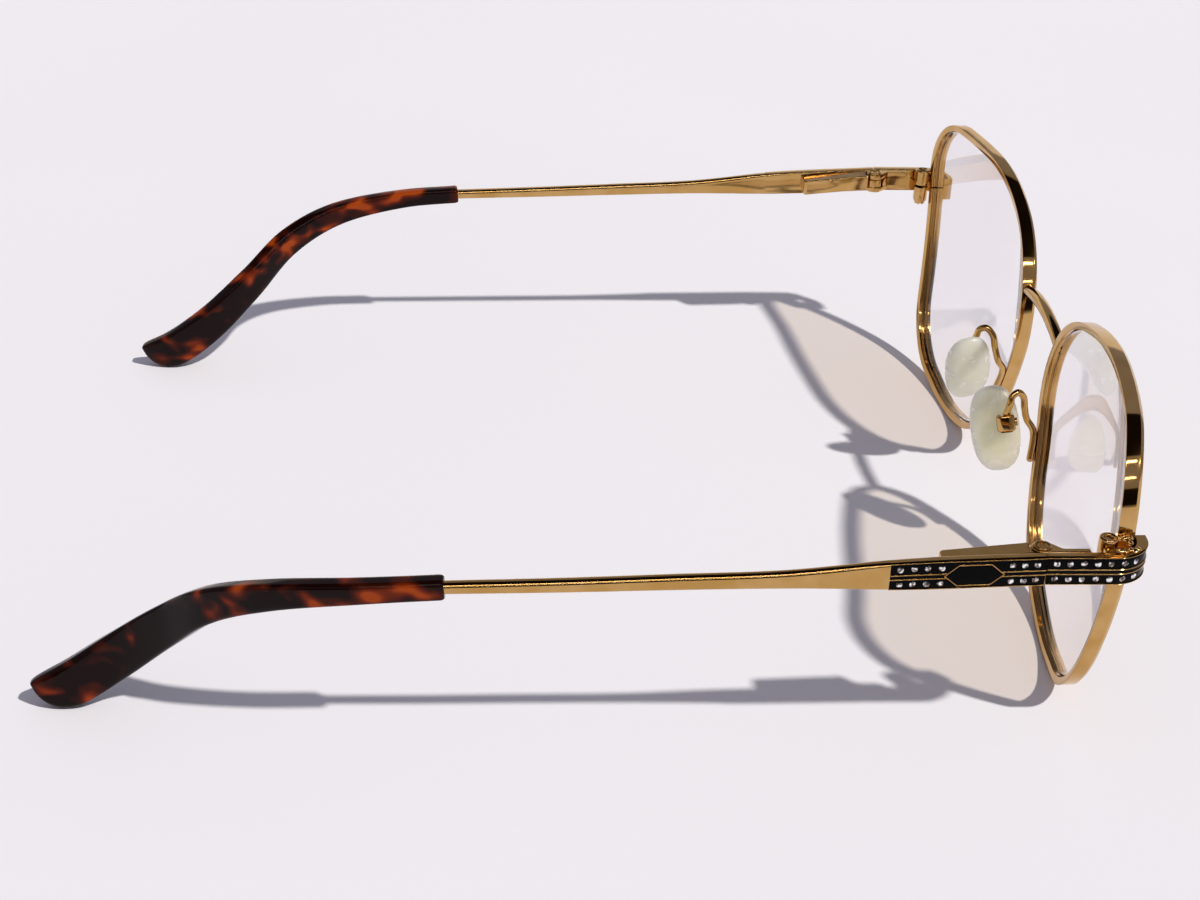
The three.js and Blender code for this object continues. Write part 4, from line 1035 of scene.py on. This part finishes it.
pad = {
    "length": 13.3, "width": 7.5, "back": 1.2, "dome": 2.7, "shift": (-1.6, -1.0), "squareness": 0.8,
    "frontal": 21, "lean": 10, "splay": -11, "aside": 3.8, "behind": 6.5, "screwDrop": 23.7,
    "rings": 40, "round": 64, "armSteps": 160,
    "box": (2.8, 2.6, 2.0), "slot": 1.0, "floor": 0.3, "boxFront": 0.8, "boxEdge": 0.4,
    "boxEdges": [0.9, 0.4, 0.2, 0.1], "head": (0.62, 0.35), "headSlot": (0.2, 0.15), "pin": 0.37,
    "arm": 0.54, "foot": 4.6, "armDrop": 26, "armGap": 0.1, "armInto": 0.3, "armBehind": 0.3,
    "hump": [  # from the rim's nasal edge, behind the lens plane, below the rim's top
        (1.5, 2.66, 24.24), (1.9, 3.35, 22.13), (2.3, 3.9, 20.02), (2.8, 4.97, 19.0), (3.3, 5.94, 19.52),
        (3.6, 6.15, 20.56),
    ],
    "profile": [  # share of the half width, share of the dome
        (0.01, 0), (0.45, 0), (0.8, 0.02), (0.93, 0.12), (1, 0.36), (0.95, 0.62), (0.78, 0.85),
        (0.45, 0.97), (0.01, 1),
    ],
}
padUp = unit([-math.sin(math.radians(pad["frontal"])), math.sin(math.radians(pad["lean"])), 1])
padFront = np.array([-math.tan(math.radians(pad["splay"])), -1, 0])
padFront = unit(padFront - padFront @ padUp * padUp)
padAxes = np.array([padFront, padUp, np.cross(padFront, padUp)])
padPlace = np.array([
    rim["gap"] / 2 + pad["aside"], lensPlane + pad["behind"], rim["height"] - pad["screwDrop"],
])


# A domed oval: a profile of (share of the radius, height) carried round it.
def nosePad():
    profile = smoothLine(pad["profile"], pad["rings"])
    ring = oval(pad["round"], pad["squareness"]) * (pad["width"] / 2, pad["length"] / 2)
    flat = profile[:, None, :1] * ring + pad["shift"]
    height = np.broadcast_to(pad["back"] + pad["dome"] * profile[:, None, 1:], flat.shape[:2] + (1,))
    return shell(placed(np.concatenate([flat, height], axis=-1), padPlace, padAxes))


# A trough in section: half of it drawn from the back to the slot's floor, and the other half mirrored.
def padBox():
    half, slot, front = pad["box"][0] / 2, pad["slot"] / 2, pad["boxFront"]
    back = front - pad["box"][2]
    side = np.array([(half, back), (half, front), (slot, front), (slot, back + pad["floor"])])
    edges = pad["boxEdges"]
    section = rounded(np.vstack([side, side[::-1] * (-1, 1)]), edges + edges[::-1], 6)
    rise = pad["box"][1] / 2
    grid = roundedPlate(section, -rise, rise, pad["boxEdge"], 6)
    return shell(placed(grid, padPlace, padAxes[[0, 2, 1]]))


# A slotted head on the front of the box, and a pin through it.
def padScrew():
    half = pad["box"][0] / 2
    axes = padAxes[[1, 2, 0]]
    heads = [grid + (0, 0, half) for grid in slottedHead(*pad["head"], *pad["headSlot"])]
    pin = roundPin(pad["pin"], -half, half, 16)
    return [shell(placed(grid, padPlace, axes)) for grid in heads + [pin]]


# A wire up the back of the rim, over a hump and down to the top of the pad box.
def padArm():
    leaves = rim["height"] - pad["armDrop"]
    heights = np.array([leaves - pad["foot"], leaves])
    spots = np.array([outlineAt(height, False) for height in heights])
    inner = spots[:, :2] - rim["wall"] / 2 * spots[:, 2:]
    foot = onLensSphere(inner[:, 0], heights, 0.0) + (0, pad["arm"] + pad["armGap"], 0)
    hump = np.array(pad["hump"]) * (1, 1, -1) + (rim["gap"] / 2, lensPlane, rim["height"])
    end = padPlace + np.array([0, pad["box"][1] / 2 - pad["armInto"], -pad["armBehind"]]) @ padAxes
    path = smoothLine(np.vstack([foot, hump, end]), pad["armSteps"])
    return shell(wire(path, pad["arm"], axisX))


addPair("pad_body", [nosePad()], silicone, "nose_pad")
addPair("pad_housing", [padBox()], gold, "pad_box")
addPair("pad_pin", padScrew(), gold, "pad_screw")
addPair("pad_wire", [padArm()], gold, "pad_arm")


# Pieces kept as the frame has them, in steel: what runs inside the spring box, and the discs in the pads

for side, _ in sides:
    for kept in ("hinge_bush", "hinge_spring", "hinge_rod_nut", "pad_insert"):
        materials = frame["nodes"][f"{side}_{kept}"].data.materials
        materials.clear()
        materials.append(steel)
print("nose pads made")


# Stage: a pale table, one sun lamp, a soft sky, and panels that only mirrors see

# Painted board, rolled matt: a pale lilac white in soft clouds, almost without gloss.
def paleTable():
    material, tree, place = startMaterial("matt_painted_board")
    cloud = addNode(tree, "TexNoise", {"Scale": 1 / (250 * mm), "Detail": 2.0}, {"Vector": place})
    tone = addNode(tree, "ValToRGB", {"ramp": [(0.3, "#EDECF3"), (0.7, "#F0EFF6")]},
                   {"Fac": cloud.outputs[0]})
    top = addNode(tree, "BsdfPrincipled", {"Roughness": 0.5, "IOR": 1.05}, {"Base Color": tone.outputs[0]})
    addNode(tree, "OutputMaterial", links={"Surface": top.outputs[0]})
    return material


# Cloth on a frame, woven with thick and thin places: it glows evenly, at a level of its own.
def panelCloth(name, low, high, level):
    material, tree, place = startMaterial(name)
    weave = addNode(tree, "TexNoise", {"Scale": 1 / (25 * mm)}, {"Vector": place})
    tone = addNode(tree, "ValToRGB", {"ramp": [(0.3, low), (0.7, high)]}, {"Fac": weave.outputs[0]})
    glow = addNode(tree, "Emission", {"Strength": level}, {"Color": tone.outputs[0]})
    addNode(tree, "OutputMaterial", links={"Surface": glow.outputs[0]})
    return material


# A flat face through corners in metres.
def addStage(name, corners, material):
    mesh = bpy.data.meshes.new(name)
    mesh.from_pydata(np.asarray(corners, float).tolist(), [], [list(range(len(corners)))])
    mesh.materials.append(material)
    piece = bpy.data.objects.new(name, mesh)
    bpy.context.scene.collection.objects.link(piece)
    return piece


# A panel across an arch over the object, from one angle to another, in degrees from +X over the top
# towards -X. Its half width along Y is a share of the distance, which is in metres.
def addPanel(name, angles, half, material, distance=0.9):
    low, high = np.radians(angles)
    turn = np.array([low, low, high, high])
    across = half * np.array([-1, 1, 1, -1])
    corners = distance * np.stack([np.cos(turn), across, np.sin(turn)], axis=-1)
    panel = addStage(name, corners, material)
    panel.visible_camera = False
    panel.visible_diffuse = False
    panel.visible_shadow = False
    panel.visible_transmission = False


tableHalf = 3.0  # metres
tableCorners = tableHalf * np.array([(-1, -1, 0), (1, -1, 0), (1, 1, 0), (-1, 1, 0)])
addStage("table_top", tableCorners, paleTable())
blackFelt = panelCloth("black_felt", "#120E0B", "#1C1612", 1.0)
lampCloth = panelCloth("lamp_cloth", "#FFF6E8", "#FFFAF2", 16.0)
paleSheet = panelCloth("pale_sheet", "#F0EBE2", "#F6F2EA", 1.0)
addPanel("pale_sheet", (2, 22), 0.8, paleSheet)
addPanel("dark_ceiling", (40, 112), 0.8, blackFelt)
addPanel("light_strip", (118, 120.5), 0.4, lampCloth)
addPanel("low_strip", (140, 141), 0.4, lampCloth)
addPanel("dark_wall", (154, 176), 0.7, blackFelt)


light = {
    "sky": (0.28, 0.275, 0.315, 1.0),  # linear
    "sunFrom": (-0.54, -0.62, 1), "sunStrength": 2.95, "sunSpread": 2.0, "sunColour": "#FFFBF2",
}


# The same light from every side.
def softSky():
    world = bpy.data.worlds.new("soft_sky")
    world.use_nodes = True
    tree = world.node_tree
    tree.nodes.clear()
    fill = addNode(tree, "Background", {"Color": light["sky"]})
    addNode(tree, "OutputWorld", links={"Surface": fill.outputs[0]})
    bpy.context.scene.world = world


# The lamp's own Z axis points back to where its light comes from.
def sunLamp():
    lamp = bpy.data.lights.new("sun", "SUN")
    lamp.energy = light["sunStrength"]
    lamp.angle = math.radians(light["sunSpread"])
    lamp.color = linearColour(light["sunColour"])[:3]
    sun = bpy.data.objects.new("sun", lamp)
    back = unit(light["sunFrom"])
    across = unit(np.cross(axisZ, back))
    sun.matrix_world = Matrix(np.column_stack([across, np.cross(back, across), back]).tolist()).to_4x4()
    bpy.context.scene.collection.objects.link(sun)


photoView = {
    "focal": 61.86, "sensor": 36,  # mm
    "place": (-0.2869, 0.0861, 0.1696),  # metres, y from the lens plane
    "right": (-0.0476, -0.9984, 0.0302),
    "upward": (0.4826, 0.0035, 0.8758),
    "back": (-0.8745, 0.0563, 0.4817),
}


# The photograph's camera, set down by its place and its three axes.
def addCamera():
    camera = bpy.data.objects.new("camera", bpy.data.cameras.new("camera"))
    camera.data.sensor_fit = "HORIZONTAL"
    camera.data.sensor_width = photoView["sensor"]
    camera.data.lens = photoView["focal"]
    axes = np.column_stack([photoView["right"], photoView["upward"], photoView["back"]])
    place = np.array(photoView["place"]) + (0, lensPlane * mm, 0)
    camera.matrix_world = Matrix.Translation(place.tolist()) @ Matrix(axes.tolist()).to_4x4()
    bpy.context.scene.collection.objects.link(camera)
    bpy.context.scene.camera = camera


softSky()
sunLamp()
addCamera()
bpy.context.scene.view_settings.view_transform = "Standard"
print("stage set")
